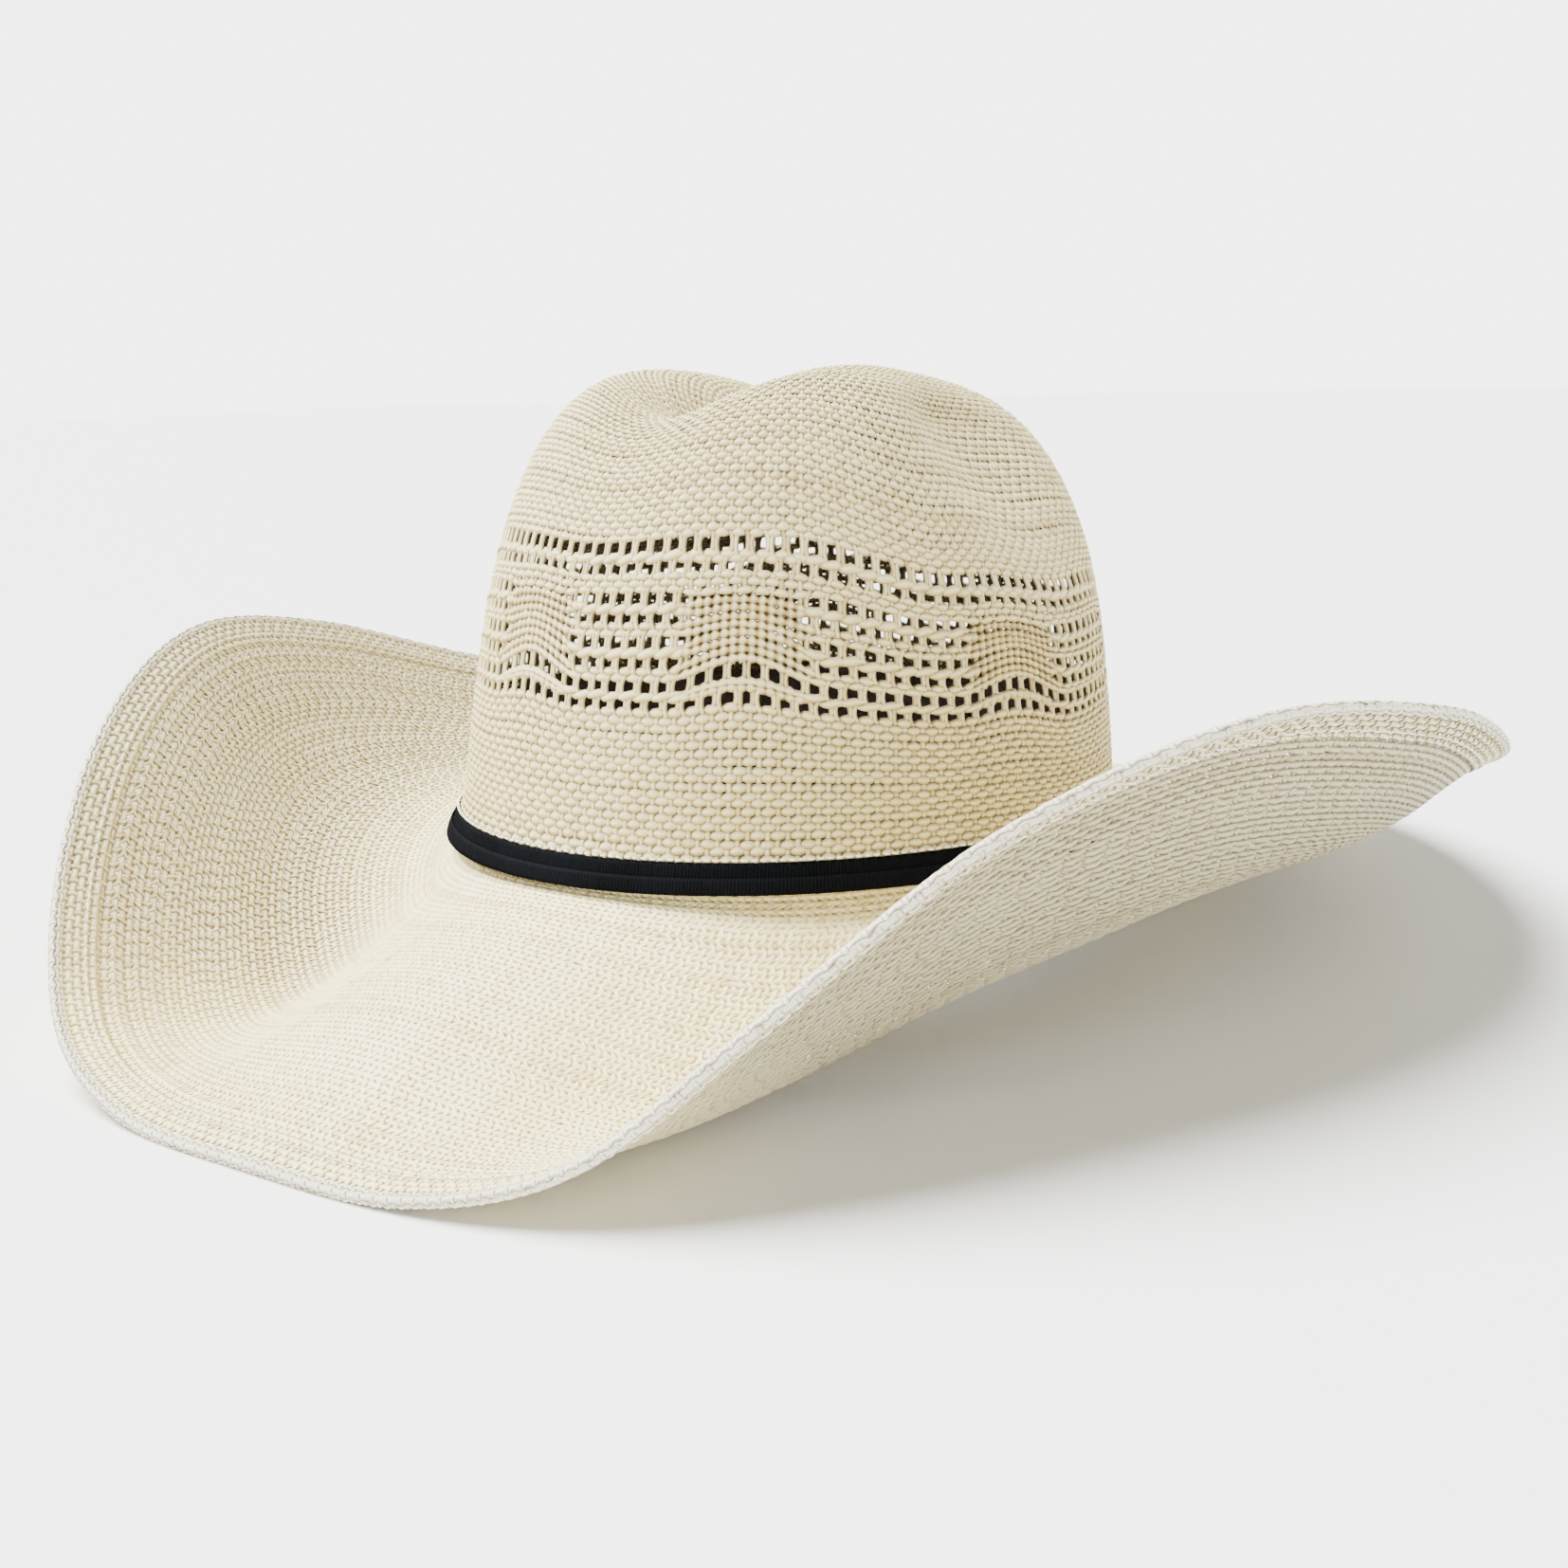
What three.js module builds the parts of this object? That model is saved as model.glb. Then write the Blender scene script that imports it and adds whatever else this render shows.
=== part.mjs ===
// A western straw hat with a cattleman crown, a wide brim rolled up at the sides and a narrow ribbon.
// Millimetres, +Z up. The hat stands on the front and the back of its brim, with its front towards -Y
// and the wearer's left towards +X. The origin is on the standing surface, under the middle of the hat.

import * as THREE from 'three';

// ---------------------------------------------------------------- driving dimensions

// Angles round the hat are in turns: 0 at the front, 0.25 at the wearer's left, 0.5 at the back.
const STEPS_ROUND = 60;
const CLEARANCE = 0.3;

// The headline is the oval where the crown meets the brim, measured on the crown's outer face.
const HEAD_HALF_LENGTH = 103;
const HEAD_HALF_WIDTH = 87;
const HEADLINE = { y: -1.5, z: 27 };
const CROWN_LEAN = THREE.MathUtils.degToRad(4.6);
const HEADLINE_SADDLE = 1.5;

// Crown: a tapered dome, pressed in along its top and at both sides.
const CROWN_HEIGHT = 127;
const CROWN_TAPER = 0.13;
const CROWN_FOOT = 1.5;
const CROWN_WALL = 1.6;
const CROWN_SQUARENESS = 4;
const CROWN_ROWS = 16;
const TOP_FALL_FORWARD = 4.7;
const CREASE = { depth: 27, halfWidth: 20, halfLength: 60, centreY: 5, fade: 9, atEnds: 0.36 };
const DENT = { depth: 18, y: -3, z: 110, reachY: 31, reachZ: 29, fullFromX: 60 };
const FRONT_PINCH = 0.085;
const FLARE = { out: 2.2, height: 16 };

// Brim: its bound edge runs through these guide points, front to back on the wearer's left.
// The front and the back guide are low enough for the binding to be pressed flat where it stands.
const GUIDE_REST = 1.1;
const EDGE_GUIDES = [
  [0, -206.5, GUIDE_REST], [42, -204.5, 2.4], [74, -194.5, 12], [101, -172.5, 37], [130, -133.5, 67],
  [161, -77.5, 83], [182, -10.5, 75], [180, 57.5, 54], [158, 116.5, 36], [126, 159.5, 26],
  [89, 187.5, 16], [47, 201.5, 3.2], [0, 206.5, GUIDE_REST],
];
const BRIM_SHEET = 1.6;
const BRIM_ROWS = 8;
const BRIM_ROWS_REACH = 0.85;
// Slope of the brim in degrees at five stations, from the front (0) round to the back (0.5).
const SLOPE_AT_HEADLINE = [-12.5, -43, -6.5, -8, -7];
const BRIM_UNDER_HEADLINE = 0.4;
const SLOPE_AT_EDGE = [-13, 16.5, 45, 2, -12];
const PULL_AT_HEADLINE = 2.25;
const PULL_AT_EDGE = 0.86;
const COLLAR_HEIGHT = 14;
const COLLAR_SHEET = 1.3;

// Folded binding over the brim's edge, with a sprung wire in its fold.
const BINDING_REACH = 8;
const BINDING_SHEET = 0.9;
const BINDING_HOLLOW = 1.2;
const BINDING_FOLD = 2.2;
const WIRE_RADIUS = 0.6;
const WIRE_BEYOND_EDGE = 1.2;
const THREAD_RADIUS = 0.35;
const FINE_THREAD_RADIUS = 0.2;
const BRIM_SEAM_FROM_EDGE = 5.5;

// Ribbon round the crown. Offsets are outwards from the crown's outer face.
const RIBBON_SHEET = 0.5;
const RIBBON_LOW = 0.3;
const RIBBON_HIGH = 7.4;
const TOP_PLY_HIGH = 4.1;
const TAIL = { from: 0.272, to: 0.33, slant: 0.012 };
const KEEPER = { from: 0.283, to: 0.299 };

// Headband inside the crown. Its heights are above the headline's plane, and its edges are flat.
const FLAT = 0;
const SWEATBAND_SHEET = 1;
const SWEATBAND_HIGH = 34;
const REED_HEIGHT = 2.7;
const TAPE_SHEET = 0.4;
const TAPE_LEG_HIGH = 6;
const SWEATBAND_SEAM_HEIGHT = 3.4;
const HEADLINE_SEAM_HEIGHT = 10;
const REAR_TAB = { halfWidth: 5, low: 9, high: 31, sheet: 0.6 };
const SIZE_TAB = { from: 0.43, to: 0.465, low: 16, high: 30, sheet: 0.3 };
const BOW = { halfWidth: 11, halfHeight: 4, knot: 1.6, sheet: 0.8, height: 1.6, standOff: 1.4 };

// Offsets of the layers at the headline, from the crown's inner face towards the head.
const COLLAR_OUT = -CROWN_WALL - CLEARANCE;
const COLLAR_IN = COLLAR_OUT - COLLAR_SHEET;
const TAPE_OUT = COLLAR_IN - CLEARANCE;
const SWEATBAND_OUT = TAPE_OUT - TAPE_SHEET - CLEARANCE;
const SWEATBAND_IN = SWEATBAND_OUT - SWEATBAND_SHEET;
const TAPE_IN = SWEATBAND_IN - CLEARANCE - TAPE_SHEET;
const REED_LOW = -CLEARANCE - REED_HEIGHT;
const TAPE_LOW = REED_LOW - CLEARANCE - TAPE_SHEET;

// ---------------------------------------------------------------- materials

const material = (color, roughness, metalness = 0) =>
  new THREE.MeshStandardMaterial({ color, roughness, metalness });

const straw = material(0xe9e0c6, 0.6);
const strawEdge = material(0xefe9d8, 0.65);
const ribbonCloth = material(0x10141c, 0.7);
const paleThread = material(0xf3efe2, 0.8);
const darkThread = material(0x15171c, 0.8);
const leather = material(0x45332a, 0.5);
const tapeCloth = material(0x2a2522, 0.8);
const reedPlastic = material(0xe8e6df, 0.4);
const springSteel = material(0x8f9296, 0.35, 1);
const satin = material(0x1b1f27, 0.5);
const card = material(0xf4f2ec, 0.9);

// ---------------------------------------------------------------- general shapes

const TURN = Math.PI * 2;

// A value that eases between five stations from the front to the back, the same on both sides.
function atStations(values, turn) {
  const fromFront = Math.min(turn, 1 - turn) * 8;
  const station = Math.min(Math.floor(fromFront), values.length - 2);
  const blend = THREE.MathUtils.smoothstep(fromFront - station, 0, 1);
  return THREE.MathUtils.lerp(values[station], values[station + 1], blend);
}

// A closed skin over rings of points. Each ring is a list of points, or one point for a pole.
// A loop of rings joins the last ring to the first; otherwise the end rings are capped or are poles.
function skin(rings, { loop = false } = {}) {
  const positions = [];
  const starts = [];
  for (const ring of rings) {
    starts.push(positions.length / 3);
    for (const point of ring) {
      positions.push(point.x, point.y, point.z);
    }
  }
  const index = [];
  const pairs = loop ? rings.length : rings.length - 1;
  for (let i = 0; i < pairs; i += 1) {
    const j = (i + 1) % rings.length;
    const around = Math.max(rings[i].length, rings[j].length);
    for (let k = 0; k < around; k += 1) {
      const next = (k + 1) % around;
      const a = starts[i] + (rings[i].length > 1 ? k : 0);
      const b = starts[i] + (rings[i].length > 1 ? next : 0);
      const c = starts[j] + (rings[j].length > 1 ? next : 0);
      const d = starts[j] + (rings[j].length > 1 ? k : 0);
      if (a !== b) {
        index.push(a, b, c);
      }
      if (c !== d) {
        index.push(a, c, d);
      }
    }
  }
  const geometry = new THREE.BufferGeometry();
  geometry.setAttribute('position', new THREE.Float32BufferAttribute(positions, 3));
  geometry.setIndex(index);
  return outwardFacing(geometry);
}

// Turns a closed skin's faces outwards if its volume comes out negative.
function outwardFacing(geometry) {
  const position = geometry.attributes.position;
  const order = geometry.index.array;
  const corners = [new THREE.Vector3(), new THREE.Vector3(), new THREE.Vector3()];
  let volume = 0;
  for (let i = 0; i < order.length; i += 3) {
    corners.forEach((corner, k) => corner.fromBufferAttribute(position, order[i + k]));
    volume += corners[0].dot(corners[1].clone().cross(corners[2]));
  }
  if (volume < 0) {
    for (let i = 0; i < order.length; i += 3) {
      [order[i], order[i + 1]] = [order[i + 1], order[i]];
    }
  }
  geometry.computeVertexNormals();
  return geometry;
}

// A ring all round the hat: section(turn) gives the corners of its cross-section.
function ringSolid(section) {
  const rings = [];
  for (let k = 0; k < STEPS_ROUND; k += 1) {
    rings.push(section(k / STEPS_ROUND));
  }
  return skin(rings, { loop: true });
}

// A strip over part of a turn, closed at both ends by fanned caps.
function stripSolid(section, from, to, steps) {
  const rings = [];
  for (let k = 0; k <= steps; k += 1) {
    rings.push(section(THREE.MathUtils.lerp(from, to, k / steps)));
  }
  const middle = (ring) => ring
    .reduce((sum, point) => sum.add(point), new THREE.Vector3())
    .divideScalar(ring.length);
  return skin([[middle(rings[0])], ...rings, [middle(rings[steps])]]);
}

// ---------------------------------------------------------------- the crown's surface

// How far the outer face of the crown's foot flares out at a height over the headline.
const flareAt = (height) => FLARE.out * (1 - THREE.MathUtils.clamp(height / FLARE.height, 0, 1)) ** 2;

// Moves a point from the crown's own upright frame to where the crown stands, leaning back.
function stand(point) {
  const { x, y, z } = point;
  const cos = Math.cos(CROWN_LEAN);
  const sin = Math.sin(CROWN_LEAN);
  return new THREE.Vector3(x, HEADLINE.y + y * cos + z * sin, HEADLINE.z - y * sin + z * cos);
}

// The open crown before it is pressed: rise goes from 0 at the headline to 1 at the top.
function openCrown(turn, rise, outerFace) {
  const angle = turn * TURN;
  const climb = rise * Math.PI / 2;
  const width = Math.cos(climb) ** (2 / CROWN_SQUARENESS);
  const height = Math.sin(climb) ** (2 / CROWN_SQUARENESS);
  const taper = 1 - CROWN_TAPER * height;
  const flare = outerFace ? flareAt(CROWN_HEIGHT * height) : 0;
  return new THREE.Vector3(
    (HEAD_HALF_WIDTH * taper * width + flare) * Math.sin(angle),
    -(HEAD_HALF_LENGTH * taper * width + flare) * Math.cos(angle),
    CROWN_HEIGHT * height,
  );
}

// Presses the crease along the top, the two side dents and the pinched front into the open crown.
function pressed(point) {
  const top = (point.z / CROWN_HEIGHT) ** 3;
  const along = Math.abs(point.y - CREASE.centreY) - CREASE.halfLength;
  const inside = 1 / (1 + Math.exp(along / CREASE.fade));
  const groove = Math.exp(-((point.x / CREASE.halfWidth) ** 2));
  const creased = CREASE.depth * groove * top * THREE.MathUtils.lerp(CREASE.atEnds, 1, inside);
  const z = point.z - creased - TOP_FALL_FORWARD * (point.y / 80) * top;

  const awayY = (point.y - DENT.y) / DENT.reachY;
  const awayZ = (z - DENT.z) / DENT.reachZ;
  const sideways = THREE.MathUtils.clamp(Math.abs(point.x) / DENT.fullFromX, 0, 1) ** 2;
  const dented = DENT.depth * Math.exp(-(awayY ** 2) - awayZ ** 2) * sideways;
  const front = THREE.MathUtils.clamp(-point.y / 100, 0, 1) * (point.z / CROWN_HEIGHT);
  const x = (point.x - Math.sign(point.x) * dented) * (1 - FRONT_PINCH * front ** 2);
  return new THREE.Vector3(x, point.y, z);
}

// The saddle of the headline, which fades out up the crown.
function saddle(turn, height) {
  const fade = Math.max(0, 1 - height / 60);
  return -HEADLINE_SADDLE * Math.cos(2 * turn * TURN) * fade;
}

function crownPoint(turn, rise, outerFace = false) {
  const point = pressed(openCrown(turn, rise, outerFace));
  point.z += saddle(turn, point.z);
  return point;
}

function crownNormal(turn, rise) {
  const step = 0.004;
  const across = crownPoint(turn + step, rise).sub(crownPoint(turn - step, rise));
  const upTo = Math.min(rise + step, 1);
  const upwards = crownPoint(turn, upTo).sub(crownPoint(turn, rise - step));
  return across.cross(upwards).normalize();
}

// A point beside the lower wall, at an offset from its outer face and a height over the headline.
function wallPoint(turn, offset, height, follow = 1) {
  const taper = 1 - CROWN_TAPER * (height / CROWN_HEIGHT);
  const angle = turn * TURN;
  const beyond = offset > 0 ? offset + flareAt(height) : offset;
  return stand({
    x: (HEAD_HALF_WIDTH * taper + beyond) * Math.sin(angle),
    y: -(HEAD_HALF_LENGTH * taper + beyond) * Math.cos(angle),
    z: height + follow * saddle(turn, height),
  });
}

function crownGeometry() {
  const ring = (place) => {
    const points = [];
    for (let k = 0; k < STEPS_ROUND; k += 1) {
      points.push(place(k / STEPS_ROUND));
    }
    return points;
  };
  const rises = [];
  for (const height of [CROWN_FOOT, FLARE.height * 0.3, FLARE.height * 0.6]) {
    rises.push(Math.asin((height / CROWN_HEIGHT) ** (CROWN_SQUARENESS / 2)) / (Math.PI / 2));
  }
  for (let row = 1; row < CROWN_ROWS; row += 1) {
    rises.push(THREE.MathUtils.smoothstep(row / CROWN_ROWS, 0, 1));
  }
  const outer = rises.map((rise) => ring((turn) => stand(crownPoint(turn, rise, true))));
  const inner = rises.map((rise) => ring((turn) => {
    const inwards = crownNormal(turn, Math.max(rise, 0.05)).multiplyScalar(-CROWN_WALL);
    if (rise === rises[0]) {
      inwards.z = 0;
    }
    return stand(crownPoint(turn, rise).add(inwards));
  }));
  const peak = crownPoint(0, 1);
  const underPeak = peak.clone();
  underPeak.z -= CROWN_WALL;
  return skin([[stand(peak)], ...outer.reverse(), ...inner, [stand(underPeak)]]);
}

// ---------------------------------------------------------------- the brim's surface

const edgeCurve = new THREE.CatmullRomCurve3(
  [
    ...EDGE_GUIDES,
    ...EDGE_GUIDES.slice(1, -1).reverse().map(([x, y, z]) => [-x, y, z]),
  ].map((guide) => new THREE.Vector3(...guide)),
  true,
  'centripetal',
);

// The brim's middle surface: out goes from 0 at the headline to 1 at the edge.
function brimPoint(turn, out) {
  const start = wallPoint(turn, (COLLAR_OUT + COLLAR_IN) / 2, -BRIM_UNDER_HEADLINE);
  const end = edgeCurve.getPoint(turn);
  const level = end.clone().sub(start).setZ(0).normalize();
  const sloping = (slopes) => {
    const slope = THREE.MathUtils.degToRad(atStations(slopes, turn));
    return level.clone().multiplyScalar(Math.cos(slope)).setZ(Math.sin(slope));
  };
  end.addScaledVector(sloping(SLOPE_AT_EDGE), -BINDING_FOLD - BINDING_SHEET);
  const length = end.distanceTo(start);
  const leaving = sloping(SLOPE_AT_HEADLINE).multiplyScalar(PULL_AT_HEADLINE * length);
  const arriving = sloping(SLOPE_AT_EDGE).multiplyScalar(PULL_AT_EDGE * length);
  const out2 = out * out;
  const out3 = out2 * out;
  return start.multiplyScalar(2 * out3 - 3 * out2 + 1)
    .add(leaving.multiplyScalar(out3 - 2 * out2 + out))
    .add(end.multiplyScalar(3 * out2 - 2 * out3))
    .add(arriving.multiplyScalar(out3 - out2));
}

// Directions on the brim: outwards along the sheet, and square to it, upwards.
function brimDirections(turn, out) {
  const step = 0.004;
  const outwards = brimPoint(turn, Math.min(out + step, 1)).sub(brimPoint(turn, out - step));
  const around = brimPoint((turn + step) % 1, out).sub(brimPoint((turn + 1 - step) % 1, out));
  const up = outwards.clone().cross(around).normalize();
  return { outwards: outwards.normalize(), up };
}

// A point near the brim: inwards of the edge by a distance along the sheet, or beyond it.
function nearEdge(turn, beyond, up) {
  const width = brimPoint(turn, 1).distanceTo(brimPoint(turn, 0.9)) * 10;
  const out = Math.min(1, 1 + beyond / width);
  const directions = brimDirections(turn, out);
  return brimPoint(turn, out)
    .addScaledVector(directions.outwards, Math.max(0, beyond))
    .addScaledVector(directions.up, up);
}

function brimSection(turn) {
  const half = BRIM_SHEET / 2;
  const upper = [];
  const lower = [];
  for (let row = 1; row <= BRIM_ROWS; row += 1) {
    const out = BRIM_ROWS_REACH * row / BRIM_ROWS;
    const { up } = brimDirections(turn, out);
    upper.push(brimPoint(turn, out).addScaledVector(up, half));
    lower.push(brimPoint(turn, out).addScaledVector(up, -half));
  }
  for (const inwards of [BINDING_REACH, BINDING_REACH / 2, 0]) {
    upper.push(nearEdge(turn, -inwards, half));
    lower.push(nearEdge(turn, -inwards, -half));
  }
  return [
    wallPoint(turn, COLLAR_IN, COLLAR_HEIGHT),
    wallPoint(turn, COLLAR_OUT, COLLAR_HEIGHT),
    wallPoint(turn, COLLAR_OUT, half - BRIM_UNDER_HEADLINE),
    ...upper,
    ...lower.reverse(),
    wallPoint(turn, COLLAR_IN, -half - BRIM_UNDER_HEADLINE),
  ];
}

function bindingSection(turn) {
  const inner = BINDING_HOLLOW;
  const outer = BINDING_HOLLOW + BINDING_SHEET;
  const fold = BINDING_FOLD;
  const outline = [
    [-BINDING_REACH, outer], [-BINDING_REACH / 2, outer], [0, outer], [fold * 0.5, outer],
    [fold + BINDING_SHEET, outer * 0.45], [fold + BINDING_SHEET, -outer * 0.45],
    [fold * 0.5, -outer], [0, -outer], [-BINDING_REACH / 2, -outer], [-BINDING_REACH, -outer],
    [-BINDING_REACH, -inner], [-BINDING_REACH / 2, -inner], [0, -inner],
    [fold, -inner * 0.6], [fold, inner * 0.6],
    [0, inner], [-BINDING_REACH / 2, inner], [-BINDING_REACH, inner],
  ];
  return outline.map(([beyond, up]) => nearEdge(turn, beyond, up));
}

// Presses flat whatever would reach below the standing surface.
const pressedFlat = (section) => (turn) => section(turn).map((point) => point.setZ(Math.max(0, point.z)));

// A round cord or wire beside the brim's edge, drawn with a few sides.
function edgeCordSection(beyond, up, radius, sides) {
  return (turn) => {
    const points = [];
    for (let k = 0; k < sides; k += 1) {
      const angle = (k / sides) * TURN;
      points.push(nearEdge(turn, beyond + radius * Math.cos(angle), up + radius * Math.sin(angle)));
    }
    return points;
  };
}

// ---------------------------------------------------------------- ribbons, headband and threads

// A flat band along the crown's wall, between two offsets and two heights. With follow at 1 it dips
// with the headline's saddle; with follow at 0 its edges are flat.
const wallBand = (inner, outer, low, high, follow = 1) => (turn) => [
  wallPoint(turn, inner, low, follow),
  wallPoint(turn, outer, low, follow),
  wallPoint(turn, outer, high, follow),
  wallPoint(turn, inner, high, follow),
];

// A thread along the crown's wall, drawn with three sides.
const wallThread = (offset, height, radius, follow = 1) => (turn) => [90, 210, 330].map((degrees) => {
  const angle = THREE.MathUtils.degToRad(degrees);
  const outwards = offset + radius * Math.cos(angle);
  return wallPoint(turn, outwards, height + radius * Math.sin(angle), follow);
});

// The tape folds up round the reed and the foot of the sweatband, with a flat underside.
function tapeSection(turn) {
  return [
    [TAPE_IN, TAPE_LOW], [TAPE_OUT, TAPE_LOW], [TAPE_OUT, TAPE_LEG_HIGH],
    [TAPE_OUT - TAPE_SHEET, TAPE_LEG_HIGH], [TAPE_OUT - TAPE_SHEET, TAPE_LOW + TAPE_SHEET],
    [TAPE_IN + TAPE_SHEET, TAPE_LOW + TAPE_SHEET], [TAPE_IN + TAPE_SHEET, TAPE_LEG_HIGH],
    [TAPE_IN, TAPE_LEG_HIGH],
  ].map(([offset, height]) => wallPoint(turn, offset, height, FLAT));
}

// The ribbon's loose end lies under the keeper and is cut on a slant.
function tailSection(turn) {
  const low = 2 * RIBBON_SHEET + 3 * CLEARANCE;
  const reach = (turn - TAIL.from) / (TAIL.to - TAIL.from);
  const slanted = turn + TAIL.slant * reach;
  const high = low + RIBBON_SHEET;
  return [
    wallPoint(turn, low, RIBBON_LOW + 0.2),
    wallPoint(turn, high, RIBBON_LOW + 0.2),
    wallPoint(slanted, high, RIBBON_HIGH - 0.2),
    wallPoint(slanted, low, RIBBON_HIGH - 0.2),
  ];
}

// A small flat bow on the tape at the back, inside the crown.
function bowGeometry() {
  const outline = new THREE.Shape();
  outline.moveTo(-BOW.knot, -BOW.knot);
  outline.quadraticCurveTo(-BOW.halfWidth * 0.7, -BOW.halfHeight * 1.3, -BOW.halfWidth, 0);
  outline.quadraticCurveTo(-BOW.halfWidth * 0.7, BOW.halfHeight * 1.3, -BOW.knot, BOW.knot);
  outline.lineTo(BOW.knot, BOW.knot);
  outline.quadraticCurveTo(BOW.halfWidth * 0.7, BOW.halfHeight * 1.3, BOW.halfWidth, 0);
  outline.quadraticCurveTo(BOW.halfWidth * 0.7, -BOW.halfHeight * 1.3, BOW.knot, -BOW.knot);
  outline.closePath();
  const geometry = new THREE.ExtrudeGeometry(outline, {
    depth: BOW.sheet,
    bevelEnabled: false,
    curveSegments: 5,
  });
  geometry.rotateX(Math.PI / 2);
  return geometry;
}

// ---------------------------------------------------------------- assembly

const hat = new THREE.Group();

function add(name, geometry, look) {
  const mesh = new THREE.Mesh(geometry, look);
  mesh.name = name;
  hat.add(mesh);
  return mesh;
}

add('crown', crownGeometry(), straw);
add('brim', ringSolid(brimSection), straw);
add('brim_edge_binding', ringSolid(pressedFlat(bindingSection)), strawEdge);
add('brim_edge_wire', ringSolid(edgeCordSection(WIRE_BEYOND_EDGE, 0, WIRE_RADIUS, 5)), springSteel);

const seamUp = BINDING_HOLLOW + BINDING_SHEET + CLEARANCE + THREAD_RADIUS;
const seam = (up) => ringSolid(edgeCordSection(-BRIM_SEAM_FROM_EDGE, up, THREAD_RADIUS, 3));
add('brim_needle_thread', seam(seamUp), paleThread);
add('brim_bobbin_thread', seam(-seamUp), paleThread);

const ribbonOut = CLEARANCE + RIBBON_SHEET;
const topPlyIn = ribbonOut + CLEARANCE;
const topPlyOut = topPlyIn + RIBBON_SHEET;
const keeperIn = topPlyOut + RIBBON_SHEET + 2 * CLEARANCE;
const keeperOut = keeperIn + RIBBON_SHEET;
add('hatband_ribbon', ringSolid(wallBand(CLEARANCE, ribbonOut, RIBBON_LOW, RIBBON_HIGH)), ribbonCloth);
add('hatband_top_ply', ringSolid(wallBand(topPlyIn, topPlyOut, RIBBON_LOW, TOP_PLY_HIGH)), ribbonCloth);
add('hatband_tail', stripSolid(tailSection, TAIL.from, TAIL.to, 5), ribbonCloth);
const keeper = wallBand(keeperIn, keeperOut, RIBBON_LOW, RIBBON_HIGH + 0.4);
add('hatband_keeper', stripSolid(keeper, KEEPER.from, KEEPER.to, 3), ribbonCloth);
const tackHeight = RIBBON_HIGH + CLEARANCE + THREAD_RADIUS;
add('hatband_thread', ringSolid(wallThread(2 * THREAD_RADIUS, tackHeight, THREAD_RADIUS)), paleThread);

const headlineSeamOffset = (COLLAR_IN + SWEATBAND_OUT) / 2;
const headlineSeam = wallThread(headlineSeamOffset, HEADLINE_SEAM_HEIGHT, FINE_THREAD_RADIUS);
add('headline_thread', ringSolid(headlineSeam), paleThread);

add('sweatband', ringSolid(wallBand(SWEATBAND_IN, SWEATBAND_OUT, 0, SWEATBAND_HIGH, FLAT)), leather);
const reed = wallBand(SWEATBAND_IN, SWEATBAND_OUT, REED_LOW, -CLEARANCE, FLAT);
add('sweatband_reed', ringSolid(reed), reedPlastic);
add('reed_tape', ringSolid(tapeSection), tapeCloth);
const seamIn = TAPE_IN - CLEARANCE - THREAD_RADIUS;
const sweatbandSeam = wallThread(seamIn, SWEATBAND_SEAM_HEIGHT, THREAD_RADIUS, FLAT);
add('sweatband_thread', ringSolid(sweatbandSeam), darkThread);

const tabIn = SWEATBAND_IN - CLEARANCE - REAR_TAB.sheet;
const tabHalfTurn = REAR_TAB.halfWidth / (TURN * HEAD_HALF_WIDTH);
const rearTab = wallBand(tabIn, SWEATBAND_IN - CLEARANCE, REAR_TAB.low, REAR_TAB.high, FLAT);
add('sweatband_rear_tab', stripSolid(rearTab, 0.5 - tabHalfTurn, 0.5 + tabHalfTurn, 2), leather);

const sizeTabOut = -CROWN_WALL - CLEARANCE - 0.2;
const sizeTab = wallBand(sizeTabOut - SIZE_TAB.sheet, sizeTabOut, SIZE_TAB.low, SIZE_TAB.high, FLAT);
add('size_tab', stripSolid(sizeTab, SIZE_TAB.from, SIZE_TAB.to, 4), card);

const bow = add('sweatband_bow', bowGeometry(), satin);
bow.position.copy(wallPoint(0.5, seamIn - THREAD_RADIUS - BOW.standOff, BOW.height, FLAT));
bow.rotation.x = -CROWN_LEAN;

export default hat;
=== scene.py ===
"""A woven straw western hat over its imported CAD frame.

Shapes are worked out in millimetres in the row frame (front -Y, wearer's left +X, +Z up) and
handed to Blender in metres. Angles round the hat are in turns, 0 at the front, 0.25 at +X.
"""

import math

import bmesh
import bpy
import numpy as np
from mathutils import Matrix, Vector


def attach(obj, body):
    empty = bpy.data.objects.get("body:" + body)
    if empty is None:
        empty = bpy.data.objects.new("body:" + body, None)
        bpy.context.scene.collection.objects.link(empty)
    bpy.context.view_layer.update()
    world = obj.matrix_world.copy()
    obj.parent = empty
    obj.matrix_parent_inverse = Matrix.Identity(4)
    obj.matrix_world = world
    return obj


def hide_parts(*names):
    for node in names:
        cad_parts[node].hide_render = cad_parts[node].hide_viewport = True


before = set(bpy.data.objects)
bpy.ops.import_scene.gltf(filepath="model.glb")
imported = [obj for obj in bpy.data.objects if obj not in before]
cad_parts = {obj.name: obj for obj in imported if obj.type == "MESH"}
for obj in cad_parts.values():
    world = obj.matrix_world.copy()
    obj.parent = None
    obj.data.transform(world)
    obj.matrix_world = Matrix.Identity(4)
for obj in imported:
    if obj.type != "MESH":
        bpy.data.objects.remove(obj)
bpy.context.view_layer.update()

MM = 0.001
TURN = 2 * math.pi
rng = np.random.default_rng(20)

# ---------- the hat's shape, as in the CAD

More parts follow.
